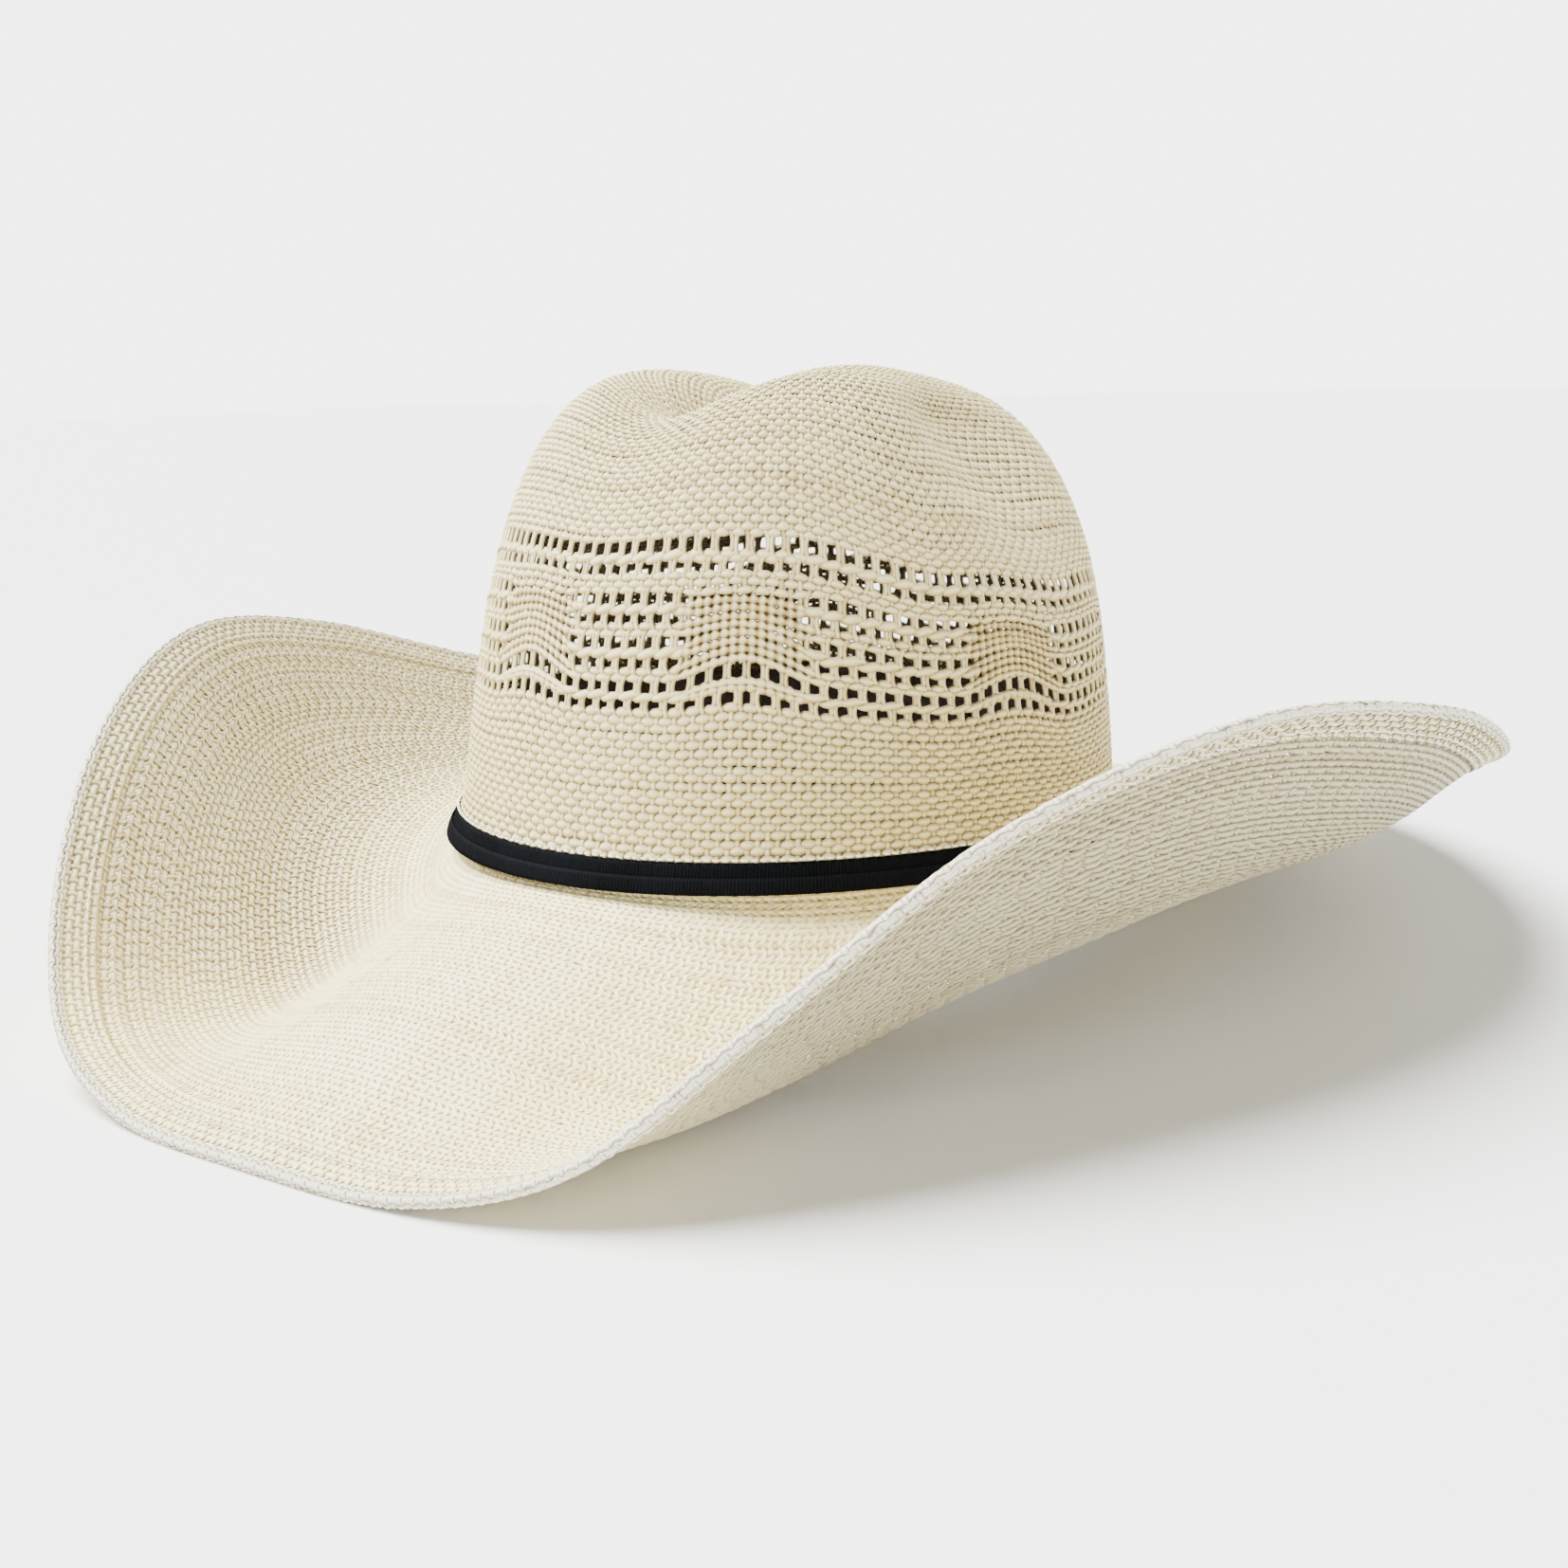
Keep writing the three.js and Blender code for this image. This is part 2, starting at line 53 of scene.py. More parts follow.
HEAD_A, HEAD_B = 103.0, 87.0
HEAD_Y, HEAD_Z = -1.5, 27.0
LEAN = math.radians(4.6)
SADDLE = 1.5
CROWN_H, TAPER = 127.0, 0.13
EDGE_GUIDES = [
    (0, -206.5, 1.1), (42, -204.5, 2.4), (74, -194.5, 12), (101, -172.5, 37), (130, -133.5, 67),
    (161, -77.5, 83), (182, -10.5, 75), (180, 57.5, 54), (158, 116.5, 36), (126, 159.5, 26),
    (89, 187.5, 16), (47, 201.5, 3.2), (0, 206.5, 1.1),
]
SLOPE_IN = [-12.5, -43, -6.5, -8, -7]
SLOPE_OUT = [-13, 16.5, 45, 2, -12]
PULL_IN, PULL_OUT = 2.25, 0.86
FLARE, FLARE_HEIGHT = 2.2, 16
BINDING_FOLD = 3.1
# The crease along the tip, and how far the tip falls from front to back.
CREASE_DEPTH, CREASE_HALF, CREASE_OPEN = 27, 20, 0.36
CREASE_Y, CREASE_REACH, CREASE_FADE = 5, 60, 9
TIP_FALL = 4.7 / 80
# The dents in the crown's sides, and how far its front is pinched.
DENT_DEPTH, DENT_Y, DENT_Z, DENT_LONG, DENT_HIGH = 18, -3, 110, 31, 29
PINCH = 0.085
# The brim's collar, inside the crown's foot, from the crown's outer face.
COLLAR_OFFSET = -2.55
# Steps in the tables of the edge and of the brim.
EDGE_STEPS, BRIM_TURNS, BRIM_STEPS = 40, 720, 80


def smooth(x, a, b):
    """0 below a, 1 above b, and a smooth ramp between them."""
    x = np.clip((x - a) / (b - a), 0, 1)
    return x * x * (3 - 2 * x)


def unit(v):
    """The vectors at a length of 1."""
    return v / np.maximum(np.linalg.norm(v, axis=-1, keepdims=True), 1e-9)


def bridge(t, start, end, leave, arrive):
    """A smooth curve from start at t = 0 to end at t = 1, with its directions there."""
    return (
        start * (2 * t**3 - 3 * t**2 + 1) + leave * (t**3 - 2 * t**2 + t)
        + end * (3 * t**2 - 2 * t**3) + arrive * (t**3 - t**2)
    )


def stand(x, y, z):
    """From the head's own axes to the row frame, where the hat leans on its brim."""
    c, s = math.cos(LEAN), math.sin(LEAN)
    return np.stack([x, HEAD_Y + y * c + z * s, HEAD_Z - y * s + z * c], -1)


def flare(height):
    """How far the crown's foot turns outwards at a height."""
    return FLARE * (1 - np.clip(height / FLARE_HEIGHT, 0, 1)) ** 2


def wall(turn, offset, height, follow=1.0):
    """A point beside the lower wall: outwards by offset from the CAD's outer face, up by height."""
    turn, offset, height = np.broadcast_arrays(turn, offset, height)
    offset = np.where(offset > 0, offset + flare(height), offset)
    k = 1 - TAPER * height / CROWN_H
    a = turn * TURN
    sag = -SADDLE * np.cos(2 * a) * np.clip(1 - height / 60, 0, None) * follow
    return stand((HEAD_B * k + offset) * np.sin(a), -(HEAD_A * k + offset) * np.cos(a), height + sag)


# Distance up an unpressed crown, from the headline to the tip, against the CAD's rise.
_rise = smooth(np.linspace(0, 1, 4001), 0, 1) * math.pi / 2
_up = CROWN_H * np.sin(_rise) ** 0.5
_in = 95 * (1 - TAPER * _up / CROWN_H) * np.cos(_rise) ** 0.5
_climb = np.concatenate([[0], np.cumsum(np.hypot(np.diff(_up), np.diff(_in)))])
CLIMB = float(_climb[-1])


def steps(place, turn, level, dt, dl, low, high):
    """A surface's points, and its steps per turn and per unit of level."""
    up1, up0 = np.minimum(level + dl, high), np.maximum(level - dl, low)
    round_ = (place(turn + dt, level) - place(turn - dt, level)) / (2 * dt)
    up = (place(turn, up1) - place(turn, up0)) / (up1 - up0)[..., None]
    return place(turn, level), round_, up


def crown(turn, climb, inset=0.8):
    """The crown's surface at a distance up it in mm, and the steps of it round and up."""

    def place(turn, climb):
        rise = np.interp(climb, _climb, _rise)
        width, height = np.cos(rise) ** 0.5, np.sin(rise) ** 0.5
        k = (1 - TAPER * height) * width
        a = turn * TURN
        z = (CROWN_H - inset) * height
        x = ((HEAD_B - inset) * k + flare(z)) * np.sin(a)
        y = -((HEAD_A - inset) * k + flare(z)) * np.cos(a)
        top = height**3
        inside = 1 / (1 + np.exp((np.abs(y - CREASE_Y) - CREASE_REACH) / CREASE_FADE))
        crease = np.exp(-((x / CREASE_HALF) ** 2)) * (CREASE_OPEN + (1 - CREASE_OPEN) * inside)
        z = z - CREASE_DEPTH * crease * top - TIP_FALL * y * top
        dent = np.exp(-(((y - DENT_Y) / DENT_LONG) ** 2) - ((z - DENT_Z) / DENT_HIGH) ** 2)
        x = x - np.sign(x) * DENT_DEPTH * dent * np.clip(np.abs(x) / 60, 0, 1) ** 2
        x = x * (1 - PINCH * (np.clip(-y / 100, 0, 1) * height) ** 2)
        z = z - SADDLE * np.cos(2 * a) * np.clip(1 - z / 60, 0, None)
        return stand(x, y, z)

    return steps(place, turn, climb, 1e-4, 0.05, 0.01, CLIMB - 0.01)


def _edge_table():
    """Shares of the way round and points along the brim's edge, as a curve through its guides."""
    half = np.array(EDGE_GUIDES, float)
    g = np.concatenate([half, (half[1:-1] * [-1, 1, 1])[::-1]])
    n = len(g)
    rows = []
    for i in range(n):
        p = [g[(i + k) % n] for k in (-1, 0, 1, 2)]
        d = [np.linalg.norm(p[k + 1] - p[k]) ** 0.5 for k in range(3)]
        m1 = (p[1] - p[0]) / d[0] - (p[2] - p[0]) / (d[0] + d[1]) + (p[2] - p[1]) / d[1]
        m2 = (p[2] - p[1]) / d[1] - (p[3] - p[1]) / (d[1] + d[2]) + (p[3] - p[2]) / d[2]
        m1, m2 = m1 * d[1], m2 * d[1]
        t = np.arange(EDGE_STEPS)[:, None] / EDGE_STEPS
        rows.append(bridge(t, p[1], p[2], m1, m2))
    g = np.concatenate(rows)
    return np.arange(len(g) + 1) / len(g), np.concatenate([g, g[:1]])


_edge_t, _edge_p = _edge_table()


def stations(values, turn):
    """Values given at every eighth of a turn from front to back, blended in between."""
    x = np.minimum(turn, 1 - turn) * 8
    i = np.minimum(np.floor(x).astype(int), len(values) - 2)
    v = np.array(values, float)
    return v[i] + (v[i + 1] - v[i]) * smooth(x - i, 0, 1)


def brim_place(turn, out):
    """A point of the brim at a share of its profile's parameter, from the headline to the edge."""
    turn = turn % 1.0
    start = wall(turn, COLLAR_OFFSET, 0 * turn - 0.4)
    end = np.stack([np.interp(turn, _edge_t, _edge_p[:, k]) for k in range(3)], -1)
    level = end - start
    level[..., 2] = 0
    level = unit(level)

    def sloping(values):
        a = np.radians(stations(values, turn))
        v = level * np.cos(a)[..., None]
        v[..., 2] = np.sin(a)
        return v

    end = end - sloping(SLOPE_OUT) * BINDING_FOLD
    length = np.linalg.norm(end - start, axis=-1)[..., None]
    leave = sloping(SLOPE_IN) * PULL_IN * length
    arrive = sloping(SLOPE_OUT) * PULL_OUT * length
    return bridge(out[..., None], start, end, leave, arrive)


# Equal steps along the brim's profile, from the headline (0) to the edge (1), at each angle.
_turns = np.arange(BRIM_TURNS + 1) / BRIM_TURNS
_shares = np.linspace(0, 1, BRIM_STEPS + 1)
_grid = brim_place(*np.meshgrid(_turns, _shares, indexing="ij"))
_spans = np.cumsum(np.linalg.norm(np.diff(_grid, axis=1), axis=-1), 1)
_spans = np.concatenate([np.zeros((BRIM_TURNS + 1, 1)), _spans], 1)
_even = np.array([np.interp(_shares * row[-1], row, _shares) for row in _spans])


def brim(turn, way):
    """The brim's middle surface at a share of the way out, and the steps of it round and out."""

    def place(turn, way):
        x, y = (turn % 1.0) * BRIM_TURNS, np.clip(way, 0, 1) * BRIM_STEPS
        i = np.minimum(x.astype(int), BRIM_TURNS - 1)
        j = np.minimum(y.astype(int), BRIM_STEPS - 1)
        fx, fy = x - i, y - j
        out = (
            _even[i, j] * (1 - fx) * (1 - fy) + _even[i + 1, j] * fx * (1 - fy)
            + _even[i, j + 1] * (1 - fx) * fy + _even[i + 1, j + 1] * fx * fy
        )
        return brim_place(turn, out)

    return steps(place, turn, way, 2e-4, 2e-3, 0, 1)


# ---------- meshes


class Parts:
    """Collects closed tubes of four-cornered sections and makes one mesh of them."""

    def __init__(self):
        self.chunks = []

    def tubes(self, centre, side, normal, half, thick, tone, strand, dark, loop=False):
        """centre, side, normal (n, 3) in mm; the rest (n,), with dark the share of the pits' full painted
        shade.
        """
        side, normal = side * half[:, None], normal * thick[:, None]
        corners = np.stack([centre - side, centre + normal, centre + side, centre - normal], 1)
        self.chunks.append((corners, np.asarray(tone, float), np.asarray(strand), np.asarray(dark), loop))

    def build(self, name, look, replaces, shade):
        """shade says how much of the painted shade colour each corner of a section takes."""
        verts, quads, tones, darks, uvs = [], [], [], [], []
        base = 0
        total = sum(len(c[0]) for c in self.chunks)
        per_line = max(1, int(2 * math.sqrt(total)))
        lines = math.ceil(total / per_line)

        def cell(index, side):
            """The corners of the cell that a face has to itself."""
            u, v = index % per_line, index // per_line * 4 + side
            return np.stack([u, v, u + 1, v, u + 1, v + 1, u, v + 1], 1)

        for corners, tone, strand, dark, loop in self.chunks:
            n = len(corners)
            i = np.arange(n)
            starts = np.concatenate([[True], strand[1:] != strand[:-1]])
            first = np.maximum.accumulate(np.where(starts, i, 0))
            last = np.concatenate([starts[1:], [True]])
            following = np.where(last, first, i + 1)
            keep = np.ones(n, bool) if loop else ~last
            a, b = i[keep], following[keep]
            for k in range(4):
                m = (k + 1) % 4
                quads.append(base * 4 + np.stack([a * 4 + k, b * 4 + k, b * 4 + m, a * 4 + m], 1))
                uvs.append(cell(base + a, k))
            if not loop:
                for ends, order in ((i[starts], (3, 2, 1, 0)), (i[last], (0, 1, 2, 3))):
                    quads.append(base * 4 + np.stack([ends * 4 + k for k in order], 1))
                    uvs.append(cell(base + ends, 0))
            verts.append(corners.reshape(-1, 3))
            tones.append(np.repeat(tone, 4))
            darks.append(np.outer(dark, shade).ravel())
            base += n
        uv = np.concatenate(uvs).reshape(-1, 2).astype(np.float32)
        uv /= np.array([per_line, lines * 4], np.float32)
        weave_object(
            name, np.concatenate(verts), np.concatenate(quads)[:, ::-1], look, replaces,
            np.concatenate(tones), uv.reshape(-1, 4, 2)[:, ::-1], np.concatenate(darks),
        )


def in_scene(name, data):
    """A new object in the scene."""
    obj = bpy.data.objects.new(name, data)
    bpy.context.scene.collection.objects.link(obj)
    return obj


def on_the_hat(name, mesh, look, replaces):
    """An object for a mesh, in its look, on the hat's one body."""
    obj = in_scene(name, mesh)
    mesh.materials.append(look)
    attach(obj, "root")
    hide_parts(*replaces)


def weave_object(name, verts, faces, look, replaces, tone, uv, painted_shade):
    """A smooth mesh in metres from vertices in mm and faces of one size."""
    mesh = bpy.data.meshes.new(name)
    n, size = faces.shape
    mesh.vertices.add(len(verts))
    mesh.vertices.foreach_set("co", (verts * MM).astype(np.float32).ravel())
    mesh.loops.add(n * size)
    mesh.loops.foreach_set("vertex_index", faces.astype(np.int32).ravel())
    mesh.polygons.add(n)
    mesh.polygons.foreach_set("loop_start", (np.arange(n) * size).astype(np.int32))
    mesh.polygons.foreach_set("use_smooth", np.ones(n, bool))
    # The second attribute is painted shade: how much of the straw's dark shade colour each corner takes.
    for key, values in (("tone", tone), ("painted_shade", painted_shade)):
        attribute = mesh.attributes.new(key, "FLOAT", "POINT")
        attribute.data.foreach_set("value", values.astype(np.float32))
    layer = mesh.uv_layers.new(name="OFBake")
    layer.data.foreach_set("uv", uv.astype(np.float32).ravel())
    mesh.update(calc_edges=True)
    mesh.validate()
    on_the_hat(name, mesh, look, replaces)


# ---------- materials


def nodes_of(name):
    """A new material, its node tree and its shader."""
    material = bpy.data.materials.new(name)
    material.use_nodes = True
    tree = material.node_tree
    return material, tree, tree.nodes["Principled BSDF"]


def add(tree, kind, inputs=(), **settings):
    """A new shader node, whose inputs are numbers, colours or the outputs of other nodes."""
    node = tree.nodes.new("ShaderNode" + kind)
    for key, value in settings.items():
        setattr(node, key, value)
    for key, value in dict(inputs).items():
        if isinstance(value, bpy.types.NodeSocket):
            tree.links.new(value, node.inputs[key])
        else:
            node.inputs[key].default_value = value
    return node


def ramp(tree, factor, stops):
    """A colour that changes with a factor, through stops of (position, colour)."""
    node = add(tree, "ValToRGB", {"Fac": factor})
    node.color_ramp.elements[0].position, node.color_ramp.elements[0].color = stops[0]
    node.color_ramp.elements[1].position, node.color_ramp.elements[1].color = stops[-1]
    for position, color in stops[1:-1]:
        node.color_ramp.elements.new(position).color = color
    return node.outputs["Color"]


def rgb(r, g, b):
    """A linear colour from the 0 to 255 numbers of a display."""
    shares = (c / 255 for c in (r, g, b))
    return tuple(c / 12.92 if c <= 10 / 255 else ((c + 0.055) / 1.055) ** 2.4 for c in shares) + (1.0,)


def noise(tree, place, scale, detail=2.0):
    return add(tree, "TexNoise", {"Vector": place, "Scale": scale, "Detail": detail}).outputs["Fac"]


def paint(tree, shader, value, stops):
    tree.links.new(ramp(tree, value, stops), shader.inputs["Base Color"])


def emboss(tree, shader, height, strength, depth):
    """Fine relief, with its depth in metres."""
    node = add(tree, "Bump", {"Strength": strength, "Distance": depth, "Height": height})
    tree.links.new(node.outputs["Normal"], shader.inputs["Normal"])


def roughen(tree, shader, value, low, high):
    node = add(tree, "MapRange", {"Value": value, "To Min": low, "To Max": high})
    tree.links.new(node.outputs[0], shader.inputs["Roughness"])


STRAW_IOR = 1.48


def straw_material(name, pale, deep, rough, inside):
    """Straw that varies from strand to strand, and takes its last colour, a painted shade, where the mesh's
    painted shade attribute says so.
    """
    material, tree, shader = nodes_of(name)
    place = add(tree, "NewGeometry").outputs["Position"]
    tone = add(tree, "Attribute", attribute_name="tone").outputs["Fac"]
    mottle = noise(tree, place, 160.0, 3.0)
    patches = noise(tree, place, 14.0)
    mixed = add(tree, "Math", {0: mottle, 1: tone, 2: tone}, operation="MULTIPLY_ADD")
    total = add(tree, "Math", {0: patches, 1: 0.3, 2: mixed.outputs[0]}, operation="MULTIPLY_ADD")
    color = ramp(tree, total.outputs[0], [(0.3, deep), (0.85, pale)])
    # Painted shade: the attribute's share of the dark last colour.
    painted_shade = add(tree, "Attribute", attribute_name="painted_shade").outputs["Fac"]
    both = add(tree, "Mix", {"Factor": painted_shade, "A": color, "B": inside}, data_type="RGBA")
    tree.links.new(both.outputs["Result"], shader.inputs["Base Color"])
    emboss(tree, shader, noise(tree, place, 1500.0), 0.25, 0.0002)
    roughen(tree, shader, mottle, rough - 0.1, rough + 0.12)
    shader.inputs["IOR"].default_value = STRAW_IOR
    return material


# The last colour of each straw is painted shade, taken in the pits between strands, on the crown's inner face
# and on the brim's underside. The crown's is far darker than its straw so that the vents look dark.
STRAW_CROWN = straw_material("straw_crown", rgb(240, 225, 166), rgb(186, 158, 96), 0.5, rgb(70, 54, 38))
STRAW_BRIM = straw_material("straw_brim", rgb(253, 240, 184), rgb(218, 192, 128), 0.45, rgb(84, 78, 68))
STRAW_EDGE = straw_material("straw_edge", rgb(243, 236, 208), rgb(220, 205, 165), 0.55, rgb(104, 92, 74))


def cloth_material(name, pale, deep, rough, fibres=1800.0, depth=0.0001, specular=0.5):
    """Thread or cloth: two near colours, fine fibres and a soft finish."""
    material, tree, shader = nodes_of(name)
    place = add(tree, "NewGeometry").outputs["Position"]
    fine = noise(tree, place, fibres, 3.0)
    broad = noise(tree, place, 60.0)
    mixed = add(tree, "Math", {0: fine, 1: broad}, operation="ADD")
    paint(tree, shader, mixed.outputs[0], [(0.75, deep), (1.25, pale)])
    emboss(tree, shader, fine, 0.6, depth)
    roughen(tree, shader, broad, rough - 0.08, rough + 0.08)
    shader.inputs["Specular IOR Level"].default_value = specular
    return material


def leather_material(name, pale, deep):
    """Smooth tanned leather with a fine pebbled grain and darker creases."""
    material, tree, shader = nodes_of(name)
    place = add(tree, "NewGeometry").outputs["Position"]
    grain = add(tree, "TexVoronoi", {"Vector": place, "Scale": 1100.0}, feature="DISTANCE_TO_EDGE")
    creases = add(tree, "MapRange", {"Value": grain.outputs["Distance"], "From Max": 0.18})
    broad = noise(tree, place, 45.0, 4.0)
    mixed = add(tree, "Math", {0: creases.outputs[0], 1: 0.35, 2: broad}, operation="MULTIPLY_ADD")
    paint(tree, shader, mixed.outputs[0], [(0.35, deep), (0.95, pale)])
    emboss(tree, shader, creases.outputs[0], 0.5, 0.00012)
    roughen(tree, shader, broad, 0.38, 0.58)
    return material


def metal_material(name, color):
    """Drawn wire with brighter scratches."""
    material, tree, shader = nodes_of(name)
    place = add(tree, "NewGeometry").outputs["Position"]
    drawn = noise(tree, place, 900.0)
    paint(tree, shader, drawn, [(0.3, color), (0.8, rgb(196, 198, 202))])
    roughen(tree, shader, drawn, 0.25, 0.5)
    shader.inputs["Metallic"].default_value = 1.0
    return material


GROSGRAIN = cloth_material("grosgrain", rgb(9, 11, 15), rgb(3, 4, 6), 0.8, 2600.0, 0.00006, 0.04)
PALE_THREAD = cloth_material("pale_thread", rgb(246, 242, 230), rgb(222, 214, 196), 0.75)
DARK_THREAD = cloth_material("dark_thread", rgb(42, 42, 46), rgb(18, 18, 20), 0.7)
TAPE = cloth_material("tape_cloth", rgb(58, 50, 44), rgb(30, 26, 24), 0.8, 1400.0, 0.00015)
SATIN = cloth_material("satin", rgb(40, 44, 54), rgb(18, 20, 27), 0.34, 700.0, 0.00004)
REED = cloth_material("reed_plastic", rgb(232, 230, 222), rgb(206, 203, 192), 0.42, 500.0, 0.00003)
CARD = cloth_material("card", rgb(240, 237, 229), rgb(222, 217, 206), 0.85, 1200.0, 0.00005)
LEATHER = leather_material("headband_leather", rgb(74, 54, 42), rgb(40, 28, 22))
WIRE = metal_material("spring_wire", rgb(120, 124, 130))

# ---------- weaving


# Turned by this share each time, new columns spread evenly. The two of a pair start this far apart.
GOLDEN, TWIN_GAP = 0.6180339887, 0.35


def columns_for(counts):
    """Columns added two at a time so that row j has counts[j] of them, evenly spaced.

    Returns the turn of each column in each row, NaN where it is absent, and its rank in the row.
    """
    counts = np.asarray(counts) // 2 * 2
    flip = counts[0] > counts[-1]
    if flip:
        counts = counts[::-1]
    counts = np.maximum.accumulate(counts)
    home = list(np.arange(counts[0]) / counts[0])
    first_row = [0] * counts[0]
    spin = 0.31
    for row in range(1, len(counts)):
        for _ in range((counts[row] - counts[row - 1]) // 2):
            spin = (spin + GOLDEN) % 1
            home += [spin, (spin + TWIN_GAP / counts[row]) % 1]
            first_row += [row, row]
    home, first_row = np.array(home), np.array(first_row)
    turn = np.full((len(home), len(counts)), np.nan)
    rank = np.zeros((len(home), len(counts)), int)
    for row, count in enumerate(counts):
        here = np.where(first_row <= row)[0]
        here = here[np.argsort(home[here], kind="stable")]
        even = (np.arange(count) + 0.5) / count
        even += np.mean(home[here] - even)
        turn[here, row], rank[here, row] = even, np.arange(count)
    return (turn[:, ::-1], rank[:, ::-1]) if flip else (turn, rank)


def waver(rows, points, size, waves=9):
    """Smooth closed waviness for each of several rows, in mm."""
    a = np.arange(points)[None] / points * TURN
    total = np.zeros((rows, points))
    for k in range(1, waves):
        total += rng.normal(size=(rows, 1)) * np.cos(k * a + rng.uniform(0, TURN, (rows, 1)))
    return total * size / math.sqrt(waves)


class Sheet:
    """A woven sheet: rows run round the hat, columns run across them."""

    column_over = 0.55
    # Painted shade: how much paler a strand's raised stretches are than its sunk ones.
    sunk_painted_shade = 0.14
    # How much painted shade a strand takes at its side, outer face, other side and inner face.
    shade = (0.32, 0.0, 0.32, 0.0)

    def __init__(self, surface, levels, counts, thick, wide_row, wide_column, swell, full, lift=0.0):
        self.surface, self.levels = surface, np.asarray(levels, float)
        self.index = np.arange(len(self.levels))
        self.turn, self.rank = columns_for(counts)
        self.lift, self.thick, self.swell, self.full = lift, thick, swell, full
        self.wide_row, self.wide_column = wide_row, wide_column
        self.count = np.asarray(counts) // 2 * 2
        self.row_half = np.gradient(self.levels) / 2

    def level(self, row, turn):
        """The level of a row, or of a share of the way to the next, at a turn."""
        return np.interp(row, self.index, self.levels) + 0 * turn

    def between(self, row):
        """Where a column is bent between this row and the next, as shares of the way."""
        return (0.5,)

    def row_height(self, row, rank, turn):
        """How far a row stands out, from -1 to 1, at a rank that may lie between two columns."""
        return np.cos(math.pi * (rank + row))

    def column_height(self, row, rank, turn):
        return -np.cos(math.pi * (rank + row)) * (row % 1 == 0)

    def row_shape(self, row, rank, turn, high):
        """A row's height, fuller than a plain wave, and its width."""
        plump = high + self.full * (1 - np.minimum(high**2, 1))
        return plump, 1 + self.swell * plump

    def groove(self, row, rank, turn):
        """How deep in a groove between two blocks a row is, from 0 to 1; it darkens the row as painted shade.
        """
        return 0 * turn

    def row_shift(self, row, rank, turn):
        """How far a row is pushed along the columns, in mm."""
        return 0 * turn

    def column_shift(self, row, rank, turn):
        """Sideways shift of a column in columns, and how far it is squeezed from 0 to 1."""
        return 0 * turn, 0 * turn

    def relief(self, row, turn):
        """How far the strands rise and sink, in mm."""
        return self.lift + 0 * turn

    def pit_dark(self, relief):
        """The share of the pits' full painted shade at a relief."""
        return 0 * relief + 1

    def widening(self, relief):
        """How much wider than usual the rows and the columns are at a relief."""
        return 1.0, 1.0

    def frame_at(self, turn, row):
        place, round_, up = self.surface(turn, self.level(row, turn))
        return place, round_, up, unit(np.cross(round_, up))

    def rows(self, parts, which):
        for row in which:
            here = np.where(~np.isnan(self.turn[:, row]))[0]
            here = here[np.argsort(self.turn[here, row])]
            at, rank = self.turn[here, row], self.rank[here, row].astype(float)
            gap = np.diff(np.concatenate([at, [at[0] + 1]])) / 2
            turn = np.stack([at, at + gap], 1).ravel()
            ranks = np.stack([rank, rank + 0.5], 1).ravel()
            high = self.row_height(row, ranks, turn)
            place, round_, up, normal = self.frame_at(turn, np.full(len(turn), float(row)))
            n = len(turn)
            half = self.row_half[row] * np.linalg.norm(up, axis=-1) * self.wide_row
            plump, wide = self.row_shape(row, ranks, turn, high)
            lift = self.relief(row, turn)
            half = half * (wide + 0.06 * rng.normal(size=n)) * self.widening(lift)[0]
            side = unit(up - normal * np.sum(up * normal, -1, keepdims=True))
            centre = place + normal * (plump * lift * (1 + 0.15 * rng.normal(size=n)))[:, None]
            centre = centre + side * (self.row_shift(row, ranks, turn) + 0.06 * rng.normal(size=n))[:, None]
            # A row is paler where it rises and darker where it sinks, and darker again in a groove between
            # blocks: painted shade, on top of random tone from strand to strand.
            tone = 0.5 + 0.12 * rng.normal() + 0.07 * rng.normal(size=n) + self.sunk_painted_shade * high
            tone = tone - 0.26 * self.groove(row, ranks, turn)
            parts.tubes(centre, side, normal, half, np.full(n, self.thick), tone, np.full(n, row),
                        self.pit_dark(lift), loop=True)

    def columns(self, parts, low, high):
        """The stretch of every column between two rows."""
        stretches = []
        for k in range(len(self.turn)):
            rows = np.arange(low, high + 1)
            rows = rows[~np.isnan(self.turn[k, low:high + 1])]
            if len(rows) < 2:
                continue
            bends = [[r] + [r + part for part in self.between(r)] for r in rows[:-1]] + [[rows[-1]]]
            row = np.array([x for group in bends for x in group], float)
            tone = 0.42 + 0.16 * math.sin(k * 12.9898 + k * k * 0.37)
            rank = self.rank[k, np.floor(row).astype(int)].astype(float)
            turn = np.interp(row, rows, self.turn[k, rows])
            stretches.append((row, turn, rank, np.full(len(row), k), np.full(len(row), tone)))
        row, turn, rank, strand, tone = (np.concatenate(one) for one in zip(*stretches))
        shift, squeeze = self.column_shift(row, rank, turn)
        height = self.column_height(row, rank, turn)
        turn = turn + shift / np.interp(row, self.index, self.count)
        place, round_, up, normal = self.frame_at(turn, row)
        pitch = np.linalg.norm(round_, axis=-1) / np.interp(row, self.index, self.count)
        side = unit(round_ - normal * np.sum(round_ * normal, -1, keepdims=True))
        half = pitch / 2 * self.wide_column * (1 + 0.15 * height) * (1 - 0.05 * squeeze)
        half = half * self.widening(self.relief(row, turn))[1]
        over = np.where(height > 0, height * self.column_over, height)
        centre = place + normal * (over * self.relief(row, turn))[:, None]
        parts.tubes(centre, -side, normal, half, self.thick * (0.85 + 0.9 * squeeze), tone, strand,
                    self.pit_dark(self.relief(row, turn)))

